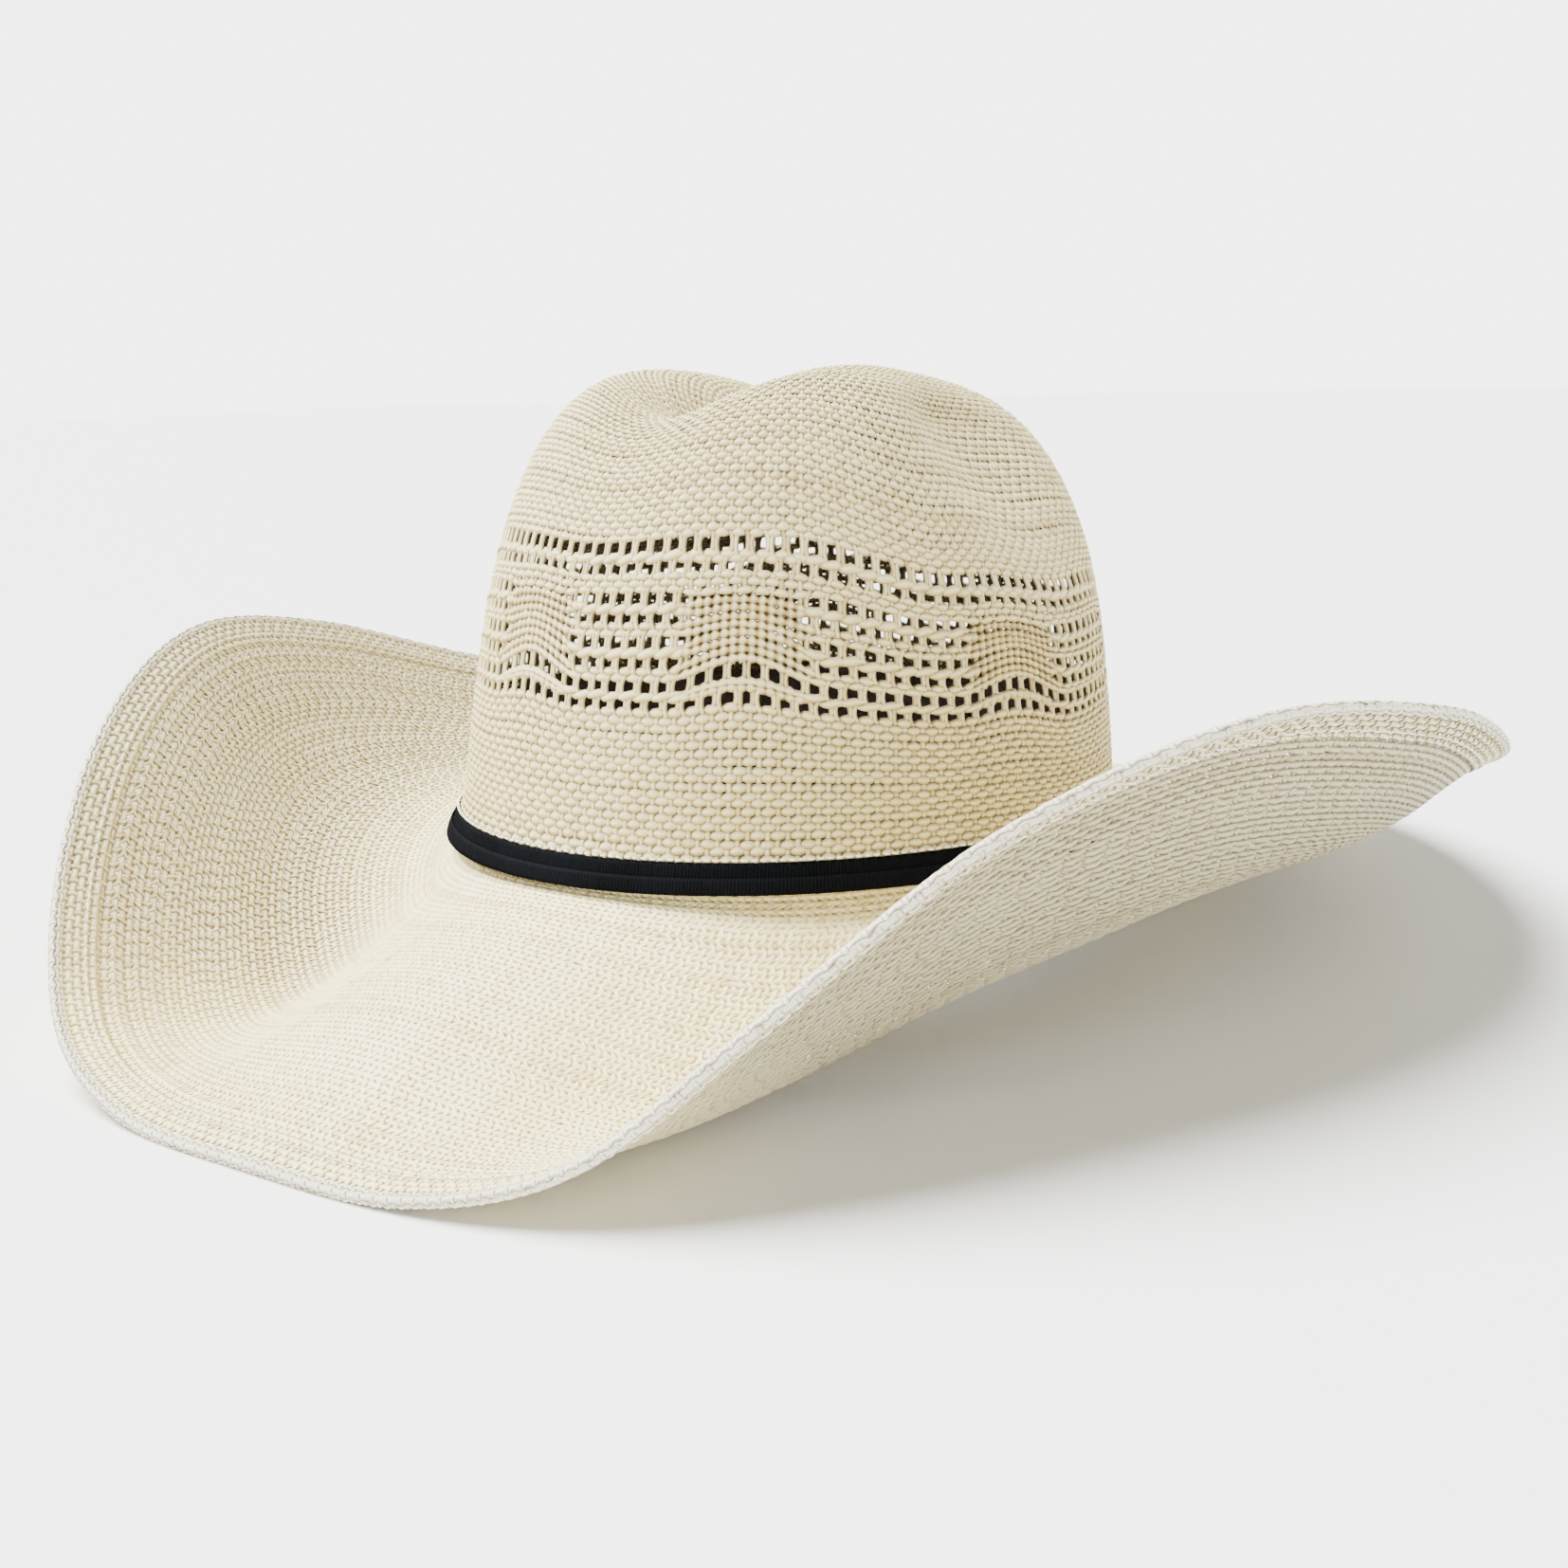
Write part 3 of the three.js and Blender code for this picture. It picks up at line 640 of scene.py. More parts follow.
    def piece(self, name, low, high, look, slot, replaces, last):
        """The stretch from row low to row high, with row high itself if it is the last."""
        parts = Parts()
        self.rows(parts, range(low, high + (1 if last else 0)))
        self.columns(parts, low, high)
        parts.build(name, look, replaces, self.shade)


# ---------- the brim

BRIM_ROWS = 60
# The brim's columns are this far apart, in mm.
BRIM_PITCH = 2.2
brim_levels = np.linspace(0.012, 0.995, BRIM_ROWS)
_round = np.array([
    np.linalg.norm(np.diff(brim(_turns, np.full(BRIM_TURNS + 1, w))[0], axis=0), axis=-1).sum()
    for w in brim_levels
])


def rolled_up(turn):
    """1 at the rolled-up sides, 0 at the front and back."""
    return smooth(np.abs(np.sin(turn * TURN)), 0.38, 0.85)


class Brim(Sheet):
    """The brim's weave, pressed nearly smooth at the front and back and coarser where it rolls up."""

    column_over = 0.15
    # Painted shade on the sunk stretches, weaker than the crown's.
    sunk_painted_shade = 0.08
    # The underside is corner 1 here, and it takes half the painted shade, so that it is darker.
    shade = (0.8, 0.5, 0.8, 0.0)

    # The pits' painted shade is faint where the weave is pressed flat and full where it stands out.
    def pit_dark(self, relief):
        return np.clip((relief - 0.1) / 0.16, 0.08, 1)

    def widening(self, relief):
        pressed = 1 - smooth(relief, 0.12, 0.24)
        return 1.02 + 0.07 * pressed, 1.16 + 0.31 * pressed

    def relief(self, row, turn):
        way = np.interp(row, self.index, self.levels)
        return 0.09 + 0.03 * smooth(way, 0.6, 0.95) + 0.19 * (rolled_up(turn) * smooth(way, 0.1, 0.55))


brim_sheet = Brim(brim, brim_levels, (_round / BRIM_PITCH).astype(int), thick=0.26, wide_row=1.0,
                  wide_column=0.62, swell=0.25, full=0.42)
cuts = [0, 16, 28, 39, 50, BRIM_ROWS - 1]
for name, low, high in zip(("inner", "middle", "broad", "outer", "edge"), cuts, cuts[1:]):
    brim_sheet.piece(f"brim_weave_{name}", low, high, STRAW_BRIM, "straw", ["brim"], high == cuts[-1])


def collar(turn, climb):
    """The brim's inner edge, turned up inside the crown."""
    return steps(lambda t, c: wall(t, COLLAR_OFFSET, c), turn, climb, 2e-4, 0.05, 0, 14)


COLLAR_ROWS = 8
collar_sheet = Sheet(collar, np.linspace(0.4, 13.2, COLLAR_ROWS), np.full(COLLAR_ROWS, 214), thick=0.22,
                     wide_row=1.08, wide_column=1.02, swell=0.3, full=0.35, lift=0.13)
collar_sheet.piece("brim_weave_collar", 0, COLLAR_ROWS - 1, STRAW_BRIM, "straw", ["brim"], True)


def near_edge(turn, beyond, up):
    """A point by the brim's edge: beyond it along the sheet (inwards if negative), and up from it."""
    turn, beyond, up = (np.array(x, float) for x in np.broadcast_arrays(turn, beyond, up))
    width = np.linalg.norm(brim_place(turn, 0 * turn + 1) - brim_place(turn, 0 * turn + 0.9), axis=-1) * 10
    out = np.minimum(1, 1 + beyond / width)
    outwards = brim_place(turn, np.minimum(out + 0.004, 1)) - brim_place(turn, out - 0.004)
    normal = unit(np.cross(outwards, brim_place(turn + 0.004, out) - brim_place(turn - 0.004, out)))
    place = brim_place(turn, out)
    return place + unit(outwards) * np.maximum(0, beyond)[..., None] + normal * up[..., None]


# The hem's path, as (beyond the edge, up from the brim): flat on the brim, then rolled round the wire.
BEAD_OUT, BEAD_RADIUS, BEAD_FROM = 1.35, 1.15, math.radians(140)
_bead = np.linspace(BEAD_FROM, -BEAD_FROM, 41)
_path = np.concatenate([
    [[-8.0, 0.5], [-6.5, 0.6], [-0.6, 0.72]],
    np.stack([BEAD_OUT + BEAD_RADIUS * np.cos(_bead), BEAD_RADIUS * np.sin(_bead)], 1),
    [[-0.6, -0.72], [-6.5, -0.6], [-8.0, -0.5]],
])
_along = np.concatenate([[0], np.cumsum(np.linalg.norm(np.diff(_path, axis=0), axis=1))])
HEM_LENGTH = float(_along[-1])
HEM_FLOOR = 0.42


def hem(turn, along):
    """The folded hem: out over the brim, round the bead at its edge, and back under it."""

    def place(turn, along):
        point = near_edge(turn, np.interp(along, _along, _path[:, 0]), np.interp(along, _along, _path[:, 1]))
        point[..., 2] = np.maximum(point[..., 2], HEM_FLOOR)
        return point

    return steps(place, turn, along, 2e-4, 0.05, 0, HEM_LENGTH)


class Hem(Brim):
    """The hem's weave, whose four middle rows make the bead."""

    def relief(self, row, turn):
        bead = (row >= 5) & (row <= 8)
        return np.where(bead, 0.2, 0.13 + 0.15 * rolled_up(turn))


_leg = np.linspace(0.5, 8.2, 5)
_roll = HEM_LENGTH / 2 + np.array([-2.3, -0.8, 0.8, 2.3])
hem_levels = np.concatenate([_leg, _roll, HEM_LENGTH - _leg[::-1]])
hem_sheet = Hem(hem, hem_levels, np.full(len(hem_levels), brim_sheet.count[-1]), thick=0.24, wide_row=1.0,
                wide_column=0.62, swell=0.25, full=0.42)
hem_sheet.piece("hem_weave_upper", 0, 4, STRAW_BRIM, "straw", ["brim_edge_binding"], True)
hem_sheet.piece("hem_weave_bead", 4, 9, STRAW_EDGE, "straw_edge", ["brim_edge_binding"], False)
hem_sheet.piece("hem_weave_lower", 9, 13, STRAW_BRIM, "straw", ["brim_edge_binding"], True)

# ---------- the crown

# The vented part starts above one of these heights up the crown's front and ends below the other.
VENT_LOW, VENT_HIGH = 41.0, 82.7
LOWER_ROWS, UPPER_PITCH = 23, 1.75
# The columns stand in pairs, which are the bars between the holes.
PAIRS = 120
COLUMNS = 2 * PAIRS
# Nearer the tip the columns thin out, so that they stay at least this far apart.
TIP_PITCH = 1.45
# Half the height of a row where it crosses a solid column.
COLUMN_ROW_HALF = 1.2
# A solid column is whole up to the first of these distances from its middle and gone at the second.
# The arch over it ends at the third. They are in pairs of columns.
COLUMN_WHOLE, COLUMN_GONE, ARCH_END = 2.4, 4.2, 4.4
# How far a pair of bars is drawn together, and how unevenly, in columns.
DRAW, DRAW_NOISE = 0.34, 0.1
# The rows' waviness, in mm, and the steps of its table round the hat.
WAVE_SIZE, WAVE_STEPS = 0.2, 720
# How far rows arch up over a solid column: those below the vents, the first two vented ones, and the
# rest, which arch less the higher they are.
ARCH_FOOT, ARCH_LOW, ARCH = 1.8, 3.7, 5.2
# The middles of the solid columns, in turns. The first and the last are the same one, a turn apart.
COLUMN_CENTRES = np.array([-13, 28.5, 76.5, 121.5, 166.5, 211.5, 256.5, 301.5, 347.0]) / 360


def from_column(turn):
    """Signed distance in turns from the middle of the nearest solid column."""
    away = turn[..., None] % 1.0 - COLUMN_CENTRES
    nearest = np.argmin(np.abs(away), -1)
    return np.take_along_axis(away, nearest[..., None], -1)[..., 0]


def side_drop(turn, height):
    """How far the pressed sides pull a row of weave down."""
    from_front = np.minimum(turn % 0.5, 0.5 - turn % 0.5) * 360
    fall = 3.5 + 4.5 * np.clip((height - 42) / 38, 0, 1.3)
    drop = smooth(from_front, 34, 64) * fall + smooth(from_front, 70, 90) * 2
    return -drop * smooth(height, 4, 42) * (1 - smooth(height, 95, 140))


class Crown(Sheet):
    """The crown's weave, with wrapped bars, vents and solid columns part of the way up."""

    # Painted shade: the strands' sides darken like the pits, and their inner face takes the whole dark colour
    # so that the vents look dark; the crown's straw is no darker inside.
    shade = (0.6, 0.0, 0.6, 1.0)

    # Each row of the vented part: its height in a block, its height in a solid column, its half width
    # and its kind. Twined rows come in pairs, which wind round the bars from both sides.
    VENT_ROWS = [
        (44.6, 43.9, 0.75, "twin0"), (44.9, 45.1, 0.75, "twin1"), (49.0, 49.1, 0.8, "plain"),
        (50.5, 51.5, 0.8, "plain"), (54.6, 53.9, 0.9, "twin0"), (54.9, 56.3, 0.9, "twin1"),
        (59.4, 58.7, 0.8, "plain"), (61.0, 61.1, 0.8, "plain"), (64.95, 63.5, 0.9, "twin0"),
        (65.25, 65.9, 0.9, "twin1"), (69.8, 68.3, 0.8, "plain"), (71.3, 70.7, 0.8, "plain"),
        (72.8, 72.9, 0.8, "plain"), (77.15, 76.8, 0.9, "twin0"), (77.45, 77.8, 0.9, "twin1"),
    ]
    # Rows of holes: after which vented row (-1 for below the first), pairing of the bars, all round or not.
    HOLES = [(-1, 0, 1), (1, 1, 1), (3, 0, 0), (5, 1, 0), (7, 0, 0), (9, 1, 0), (12, 0, 1), (14, 1, 1)]

    def __init__(self):
        lower = list(np.linspace(0.6, VENT_LOW, LOWER_ROWS))
        vents = [row[0] for row in self.VENT_ROWS]
        upper = list(np.arange(VENT_HIGH, CLIMB - 2.0, UPPER_PITCH))
        levels = lower + vents + upper
        first = len(lower)
        self.first_vent, self.last_vent = first, first + len(vents) - 1
        # Up to this row, a row crosses the solid columns as a line of blocks.
        self.last_block = self.last_vent - 4
        self.in_column = np.array(lower + [row[1] for row in self.VENT_ROWS] + upper)
        self.lifts = np.zeros(len(levels))
        self.lifts[:first] = ARCH_FOOT * smooth(np.array(lower), 24, VENT_LOW + 1)
        self.lifts[first:first + 2] = ARCH_LOW
        self.lifts[first + 2:first + 13] = ARCH * (1 - np.arange(11) / 11)
        radius = np.interp(levels, _climb, _in)
        counts = np.where(np.array(levels) < 100, COLUMNS, np.minimum(COLUMNS, TURN * radius / TIP_PITCH))
        counts = np.maximum(counts.astype(int), 6)
        super().__init__(crown, levels, counts, thick=0.32, wide_row=0.95, wide_column=0.66, swell=0.36,
                         full=0.5, lift=0.42)
        self.row_half[first - 1] = self.row_half[first - 2]
        self.row_half[self.last_vent + 1] = UPPER_PITCH / 2
        self.row_half[first:self.last_vent + 1] = [row[2] for row in self.VENT_ROWS]
        self.kind = np.array(["plain"] * first + [row[3] for row in self.VENT_ROWS] + ["plain"] * len(upper))
        self.holes = {first + after: (parity, everywhere) for after, parity, everywhere in self.HOLES}
        self.noise = waver(len(levels), WAVE_STEPS, WAVE_SIZE)
        self.bar_noise = rng.normal(size=(len(levels), COLUMNS + 2)) * DRAW_NOISE

    def solid(self, turn):
        """1 in a solid column, 0 well away from one."""
        away = np.abs(from_column(turn)) * PAIRS
        return 1 - smooth(away, COLUMN_WHOLE, COLUMN_GONE)

    def level(self, row, turn):
        turn = turn + 0 * row
        solid = self.solid(turn)
        arch = np.cos(np.clip(np.abs(from_column(turn)) * PAIRS / ARCH_END, 0, 1) * math.pi / 2) ** 2

        def one(whole):
            level = self.levels[whole] * (1 - solid) + self.in_column[whole] * solid
            level = level + self.lifts[whole] * arch
            level = level + side_drop(turn, level)
            x = (turn % 1.0) * WAVE_STEPS
            i = x.astype(int) % WAVE_STEPS
            following = (i + 1) % WAVE_STEPS
            return level + self.noise[whole, i] * (1 - (x % 1)) + self.noise[whole, following] * (x % 1)

        low = np.clip(np.floor(row).astype(int), 0, self.index[-1])
        part = row - low
        return one(low) * (1 - part) + one(np.minimum(low + 1, self.index[-1])) * part

    def between(self, row):
        return (0.12, 0.3, 0.5, 0.7, 0.88) if row in self.holes else (0.5,)

    def row_height(self, row, rank, turn):
        plain = np.cos(math.pi * (rank + row))
        if not self.first_vent <= row <= self.last_vent:
            return plain
        solid = self.solid(turn)
        if self.kind[row] != "plain":
            flip = 0 if self.kind[row] == "twin0" else math.pi
            plain = 1.3 * np.cos(math.pi * (rank - 0.5) / 2 + flip)
        brick = 0.1 + 0.8 * np.cos(TURN * rank)
        basket = brick if row < self.last_block else np.cos(math.pi * (rank + row))
        return plain * (1 - solid) + basket * solid

    def row_shape(self, row, rank, turn, high):
        plump, wide = super().row_shape(row, rank, turn, high)
        if self.first_vent <= row < self.last_block:
            solid = self.solid(turn)
            filled = COLUMN_ROW_HALF / self.row_half[row] * (0.88 + 0.14 * high)
            return high * solid + plump * (1 - solid), filled * solid + wide * (1 - solid)
        return plump, wide

    # Painted shade in the grooves between the bricks of a solid column.
    def groove(self, row, rank, turn):
        if self.first_vent <= row < self.last_block:
            return self.solid(turn) * (0.5 - 0.5 * np.cos(TURN * rank))
        return 0 * turn

    def row_shift(self, row, rank, turn):
        if self.kind[row] == "plain":
            return 0 * turn
        flip = 1 if self.kind[row] == "twin0" else -1
        return 0.42 * flip * np.sin(math.pi * (rank - 0.5) / 2) * (1 - self.solid(turn))

    def column_height(self, row, rank, turn):
        plain = -np.cos(math.pi * (rank + row)) * (row % 1 == 0)
        whole = np.clip(np.round(row).astype(int), 0, self.index[-1])
        vented = (row >= self.first_vent) & (row <= self.last_vent)
        basket = vented & (row < self.last_block)
        twined = self.kind[whole] != "plain"
        solid = self.solid(turn)
        block = np.where(twined & vented, 0, plain)
        return block * (1 - solid) + np.where(basket, -1.0, plain) * solid

    def column_shift(self, row, rank, turn):
        low = np.floor(row).astype(int)
        part = row - low
        shift, squeeze = 0 * turn, 0 * turn
        solid = self.solid(turn)
        for gap, (parity, everywhere) in self.holes.items():
            reach = np.where(low == gap, 0.35 + 0.65 * np.sin(math.pi * part) ** 0.8, 0)
            reach = np.where((row == gap) | (row == gap + 1), 0.3, reach)
            reach = reach * (1 if everywhere else 1 - smooth(solid, 0.25, 0.9))
            to_right = np.where((rank + parity) % 2 == 0, 1.0, -1.0)
            pair = np.floor((rank + parity) / 2).astype(int)
            shift = shift + reach * (DRAW * to_right + self.bar_noise[gap, pair % COLUMNS])
            squeeze = np.maximum(squeeze, reach)
        return shift, squeeze


crown_sheet = Crown()
vents_end = crown_sheet.last_vent
cuts = [0, crown_sheet.first_vent - 1, vents_end + 1, vents_end + 18, vents_end + 36]
cuts.append(len(crown_sheet.levels) - 1)
for name, low, high in zip(("lower", "vents", "upper", "shoulder", "tip"), cuts, cuts[1:]):
    crown_sheet.piece(f"crown_weave_{name}", low, high, STRAW_CROWN, "straw", ["crown"], high == cuts[-1])

# ---------- ribbon, threads and headband


def lofted(name, sections, look, node, loop=True):
    """A solid skinned over closed sections, an (n, m, 3) array that runs round the hat."""
    n, m, _ = sections.shape
    i, k = np.meshgrid(np.arange(n if loop else n - 1), np.arange(m), indexing="ij")
    j, above = (i + 1) % n, (k + 1) % m
    quads = np.stack([i * m + k, j * m + k, j * m + above, i * m + above], -1).reshape(-1, 4)
    verts = sections.reshape(-1, 3)
    if not loop:
        # Both ends close on a smaller ring and a middle point.
        for end, flip in ((0, False), (n - 1, True)):
            ring = end * m + np.arange(m)
            middle = verts[ring].mean(0)
            small = len(verts) + np.arange(m)
            verts = np.concatenate([verts, verts[ring] * 0.7 + middle * 0.3, middle[None]])
            following = np.roll(np.arange(m), -1)
            sides = np.stack([ring[following], ring, small, small[following]], 1)
            hub = np.full(m, len(verts) - 1)
            tip = np.stack([small[following], small, hub, hub], 1)
            cap = np.concatenate([sides, tip])
            quads = np.concatenate([quads, cap[:, ::-1] if flip else cap])
    smooth_solid(name, verts, quads, look, node)


def smooth_solid(name, verts, quads, look, node):
    """A smooth closed mesh in metres, where a four-cornered face may repeat a corner."""
    mesh = bpy.data.meshes.new(name)
    faces = [list(dict.fromkeys(face)) for face in quads.tolist()]
    mesh.from_pydata((verts * MM).tolist(), [], faces)
    mesh.update()
    work = bmesh.new()
    work.from_mesh(mesh)
    bmesh.ops.recalc_face_normals(work, faces=work.faces)
    for face in work.faces:
        face.smooth = True
    work.to_mesh(mesh)
    work.free()
    on_the_hat(name, mesh, look, [node])


def band_sections(turns, inner, outer, low, high, rows, follow=1.0, bulge=0.0, relief=0.0, round_off=0.12):
    """Sections of a band along the wall, with rounded edges and rows across its outer face."""
    up = np.linspace(0, 1, rows)
    edge = round_off * (1 - np.minimum(1, np.minimum(up, 1 - up) * (rows - 1)))
    swell = bulge * np.sin(math.pi * up)
    outer_face = [(outer + swell[k] - edge[k], low + (high - low) * up[k], 1.0) for k in range(rows)]
    inner_face = [(inner + edge[k], low + (high - low) * up[k], 0.0) for k in range(rows)][::-1]
    points = []
    for offset, height, face in outer_face + inner_face:
        points.append(wall(turns, offset + relief * face, 0 * turns + height, follow))
    return np.stack(points, 1)


# The ribs of the ribbon in one turn, its heights above the headline and its thickness.
RIBS = 684
RIBBON_LOW, RIBBON_HIGH, PLY_HIGH = 0.3, 7.4, 4.1
RIBBON_THICK = 0.5


def ribbed(name, node, start, end, inner, low, high, rows=7, slant=0.0):
    """Grosgrain: a band with fine upright ribs."""
    outer = inner + RIBBON_THICK
    ribs = max(2, round((end - start) * RIBS))
    loop = end - start == 1
    reach = np.arange(ribs * 4 + (0 if loop else 1)) / (ribs * 4)
    turns = start + (end - start) * reach
    rib = 0.11 * np.cos(reach * ribs * TURN) + 0.02 * rng.normal(size=len(turns))
    sections = band_sections(turns, inner, outer - 0.08, low, high, rows, bulge=0.03, relief=rib)
    if slant:
        leaning = wall(turns + slant * reach, 0 * turns, 0 * turns) - wall(turns, 0 * turns, 0 * turns)
        share = np.concatenate([np.linspace(0, 1, rows), np.linspace(1, 0, rows)])
        sections = sections + leaning[:, None] * share[None, :, None]
    lofted(name, sections, GROSGRAIN, node, loop)


ribbed("hatband_ribbon_cloth", "hatband_ribbon", 0.0, 1.0, 0.3, RIBBON_LOW, RIBBON_HIGH)
ribbed("hatband_top_ply_cloth", "hatband_top_ply", 0.0, 1.0, 1.1, RIBBON_LOW, PLY_HIGH, 5)
ribbed("hatband_tail_cloth", "hatband_tail", 0.272, 0.33, 1.9, RIBBON_LOW + 0.2, RIBBON_HIGH - 0.2, 7, 0.012)
ribbed("hatband_keeper_cloth", "hatband_keeper", 0.283, 0.299, 2.8, RIBBON_LOW, RIBBON_HIGH + 0.4)


def stitches(name, place, outward, count, share, radius, dip, look, node):
    """A row of separate stitches. place(turn, lift) gives their points, outward the way they face."""
    bends, sides = 7, 6
    along = np.linspace(-0.5, 0.5, bends)
    start = (np.arange(count)[:, None] + 0.5 + rng.normal(size=(count, 1)) * 0.03) / count
    turn = (start + along[None] * share / count).ravel() % 1.0
    lift = (-dip * np.abs(2 * along) ** 3)[None] + rng.normal(size=(count, 1)) * 0.03
    centre = place(turn, lift.ravel()).reshape(count, bends, 3)
    ahead = unit(np.gradient(centre, axis=1))
    facing = outward(turn).reshape(count, bends, 3)
    across = unit(np.cross(ahead, facing))
    facing = np.cross(across, ahead)
    slim = radius * (1 - 0.45 * np.abs(2 * along) ** 4)[None, :, None, None]
    angle = np.arange(sides) / sides * TURN
    ring = across[:, :, None] * np.cos(angle)[None, None, :, None]
    ring = ring + facing[:, :, None] * np.sin(angle)[None, None, :, None]
    verts = (centre[:, :, None] + ring * slim).reshape(-1, 3)
    c, b, k = np.meshgrid(np.arange(count), np.arange(bends - 1), np.arange(sides), indexing="ij")
    at = (c * bends + b) * sides
    beside = (k + 1) % sides
    quads = np.stack([at + k, at + sides + k, at + sides + beside, at + beside], -1).reshape(-1, 4)
    first = np.arange(count)[:, None] * bends * sides
    last = first + (bends - 1) * sides
    caps = [first + np.array([0, 1, 2, 3]), first + np.array([0, 3, 4, 5]),
            last + np.array([3, 2, 1, 0]), last + np.array([5, 4, 3, 0])]
    smooth_solid(name, verts, np.concatenate([quads, *caps]), look, node)


def wall_stitches(name, node, offset, height, count, share, radius, look, follow=1.0, dip=0.3, way=1):
    """Stitches round the wall, which face outwards for a way of 1 and inwards for -1."""

    def place(turn, lift):
        return wall(turn, offset + way * lift, 0 * turn + height, follow)

    def outward(turn):
        return unit(place(turn, 0 * turn + 1) - place(turn, 0 * turn))

    stitches(name, place, outward, count, share, radius, dip, look, node)


# The seam through the hem: in from the edge, its lowest height and its number of stitches.
HEM_SEAM, SEAM_FLOOR, HEM_STITCHES = -5.5, 0.3, 330


def edge_stitches(name, node, up):
    """Stitches through the hem, up from the brim's middle surface, or down from it if negative."""

    def place(turn, lift):
        point = near_edge(turn, HEM_SEAM, up + math.copysign(1, up) * lift)
        point[..., 2] = np.maximum(point[..., 2], SEAM_FLOOR)
        return point

    def outward(turn):
        return unit(near_edge(turn, HEM_SEAM, 2 * up) - near_edge(turn, HEM_SEAM, up))

    stitches(name, place, outward, HEM_STITCHES, 0.86, 0.24, 0.45, PALE_THREAD, node)


wall_stitches("hatband_tacks", "hatband_thread", 0.7, RIBBON_HIGH + 0.5, 260, 0.72, 0.3, PALE_THREAD)
wall_stitches("headline_stitches", "headline_thread", -3.7, 10, 170, 0.8, 0.2, PALE_THREAD)
wall_stitches("sweatband_stitches", "sweatband_thread", -6.25, 3.4, 170, 0.78, 0.33, DARK_THREAD,
              follow=0.0, dip=0.25, way=-1)
edge_stitches("brim_needle_stitches", "brim_needle_thread", 1.12)
edge_stitches("brim_bobbin_stitches", "brim_bobbin_thread", -1.12)

# The headband's inner and outer face, measured from the crown's outer face, and its height.
BAND_INNER, BAND_OUTER, BAND_HIGH = -5.2, -4.2, 34.0

# The headband, whose edges are flat while the headline dips, and what is sewn to it.
around = np.arange(720) / 720
lean = 0.05 * np.sin(around * TURN * 3 + 1) + 0.03 * np.sin(around * TURN * 11)
leather = band_sections(around, BAND_INNER, BAND_OUTER, 0.0, BAND_HIGH, 13, follow=0.0, relief=lean,
                        round_off=0.3)
lofted("sweatband_leather", leather, LEATHER, "sweatband")
reed = band_sections(around[::2], BAND_INNER, BAND_OUTER, -3.0, -0.3, 6, follow=0.0, round_off=0.35)
lofted("sweatband_reed_strip", reed, REED, "sweatband_reed")


def tape_sections(turns):
    """Sections of the tape, which is folded up round the reed, with a wavy top edge."""
    outline = [(-5.9, -3.7), (-3.5, -3.7), (-3.5, 1.2), (-3.5, 6), (-3.9, 6), (-3.9, 1.2),
               (-3.9, -3.3), (-5.5, -3.3), (-5.5, 1.2), (-5.5, 6), (-5.9, 6), (-5.9, 1.2)]
    wave = 0.05 * np.sin(turns * TURN * 90) + 0.03 * rng.normal(size=len(turns))
    return np.stack([
        wall(turns, 0 * turns + offset, height + (wave if height == 6 else 0 * turns), 0.0)
        for offset, height in outline
    ], 1)


lofted("reed_tape_cloth", tape_sections(np.arange(1080) / 1080), TAPE, "reed_tape")

# The patch over the rear joint is 10 mm wide.
half = 5 / (TURN * HEAD_B)
tab = band_sections(np.linspace(0.5 - half, 0.5 + half, 17), -6.1, -5.5, 9, 31, 13, follow=0.0, round_off=0.18)
lofted("sweatband_rear_tab_leather", tab, LEATHER, "sweatband_rear_tab", False)
card = band_sections(np.linspace(0.43, 0.465, 25), -2.4, -2.1, 16, 30, 9, follow=0.0, round_off=0.06)
lofted("size_tab_card", card, CARD, "size_tab", False)


def bow():
    """A flat bow: two loops with a gathered knot between them."""
    across, up = np.linspace(-1, 1, 65), np.linspace(-1, 1, 13)
    x, y = np.meshgrid(across, up, indexing="ij")
    loop = np.sin(math.pi * np.abs(x)) ** 0.7
    half = 1.4 + 2.6 * loop
    pleat = 0.16 * np.cos(y * 4 * math.pi) * np.exp(-((x / 0.22) ** 2)) + 0.12 * np.cos(y * 3)
    front = np.stack([x * 10.6, y * half, 0.35 + pleat + 0.35 * loop], -1)
    rear = np.stack([x * 10.6, y * half, -0.35 - 0.1 * loop], -1)
    ring = np.concatenate([front, rear[:, ::-1]], 1)
    knot_turn = np.arange(24) / 24 * TURN
    knot = np.stack([
        np.stack([
            (1.5 - 0.25 * abs(h)) * np.cos(knot_turn),
            np.full(24, 2.0 * h),
            (0.95 - 0.25 * abs(h)) * np.sin(knot_turn) * (1 + 0.05 * np.cos(6 * knot_turn)) + 0.1,
        ], -1)
        for h in np.linspace(-1, 1, 9)
    ])
    return ring, knot


def at_bow(points):
    """From the bow's own frame (right, up, towards the head) to its place on the tape."""
    centre = wall(np.array(0.5), np.array(-7.9), np.array(1.6), 0.0)
    axes = [(1, 0, 0), (0, math.sin(LEAN), math.cos(LEAN)), (0, -math.cos(LEAN), math.sin(LEAN))]
    return centre + points @ np.array(axes, float)


loops, knot = bow()
lofted("sweatband_bow_loops", at_bow(loops), SATIN, "sweatband_bow", False)
lofted("sweatband_bow_knot", at_bow(knot), SATIN, "sweatband_bow", False)

around = np.arange(900) / 900
WIRE_RADIUS = 0.55
wire = np.stack([
    near_edge(around, BEAD_OUT + WIRE_RADIUS * math.cos(a), WIRE_RADIUS * math.sin(a))
    for a in np.arange(10) / 10 * TURN
], 1)
lofted("brim_edge_spring_wire", wire, WIRE, "brim_edge_wire")

# ---------- camera, floor and light

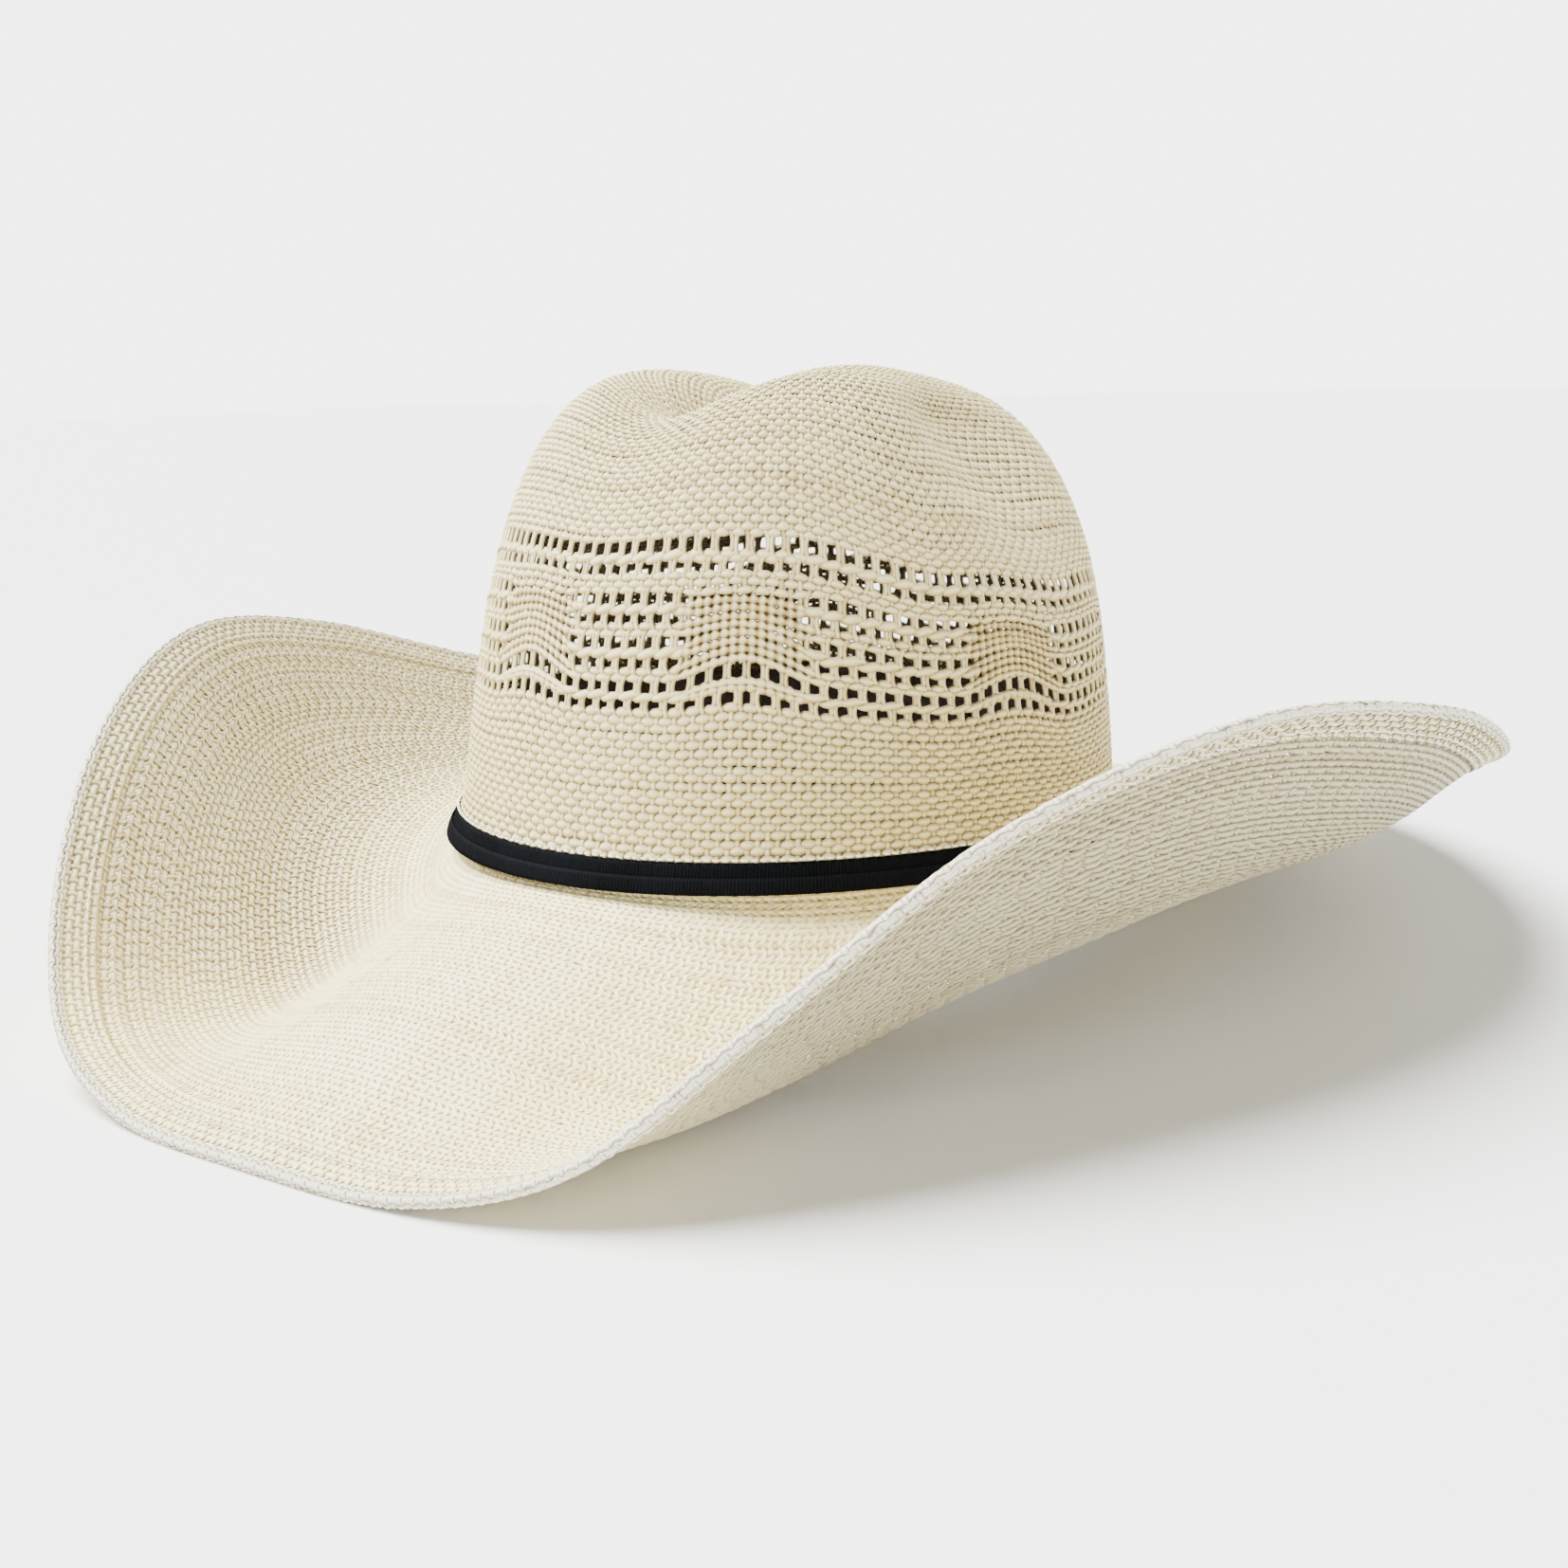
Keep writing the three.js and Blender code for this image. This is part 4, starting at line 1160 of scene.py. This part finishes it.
# The camera's turn from the front of the hat, its height and its tilt, as angles.
YAW, PITCH, ROLL = (math.radians(a) for a in (33.7, 13.0, -1.62))
# Where it stands from the middle of the headline, and its film and lens, in mm.
BACK, RIGHT, ABOVE = 525, -3.5, 9.6
FILM, LENS = 36, 42.1813785
back = Vector((math.sin(YAW) * math.cos(PITCH), -math.cos(YAW) * math.cos(PITCH), math.sin(PITCH)))
right = Vector((math.cos(YAW), math.sin(YAW), 0))
above = back.cross(right)
camera_data = bpy.data.cameras.new("camera")
camera = in_scene("camera", camera_data)
x_axis = right * math.cos(ROLL) + above * math.sin(ROLL)
y_axis = above * math.cos(ROLL) - right * math.sin(ROLL)
position = (back * BACK + right * RIGHT + above * ABOVE + Vector((0, HEAD_Y, HEAD_Z))) * MM
camera.matrix_world = Matrix.Translation(position) @ Matrix((x_axis, y_axis, back)).transposed().to_4x4()
camera_data.sensor_width = FILM
camera_data.lens = LENS
camera_data.clip_start = 0.01
bpy.context.scene.camera = camera

floor_material, tree, shader = nodes_of("floor")
shader.inputs["Base Color"].default_value = (0.89, 0.89, 0.88, 1)
shader.inputs["Roughness"].default_value = 0.6
# Half the floor's width, in metres.
FLOOR = 6.0
corners = [(-FLOOR, -FLOOR, 0), (FLOOR, -FLOOR, 0), (FLOOR, FLOOR, 0), (-FLOOR, FLOOR, 0)]
floor_mesh = bpy.data.meshes.new("floor")
floor_mesh.from_pydata(corners, [], [(0, 1, 2, 3)])
floor_mesh.materials.append(floor_material)
in_scene("floor", floor_mesh)

# The sky is bright up to about 10 degrees above the horizon and dim from about 20 up.
SKY = {"From Min": 0.17, "From Max": 0.36, "To Min": 5.0, "To Max": 0.3}
SUN_STRENGTH, SUN_WIDTH = 17.0, math.radians(45)
world = bpy.data.worlds.new("studio")
bpy.context.scene.world = world
world.use_nodes = True
tree = world.node_tree
direction = add(tree, "TexCoord").outputs["Generated"]
height = add(tree, "SeparateXYZ", {"Vector": direction}).outputs["Z"]
sky = add(tree, "MapRange", {"Value": height, **SKY})
tree.links.new(sky.outputs[0], tree.nodes["Background"].inputs["Strength"])
tree.nodes["Background"].inputs["Color"].default_value = (1.0, 1.0, 1.0, 1)

sun = bpy.data.lights.new("overhead", "SUN")
sun.energy, sun.angle = SUN_STRENGTH, SUN_WIDTH
lamp = in_scene("overhead", sun)
lamp.rotation_euler = Vector((-0.5, -0.1, 1.0)).to_track_quat("Z", "Y").to_euler()
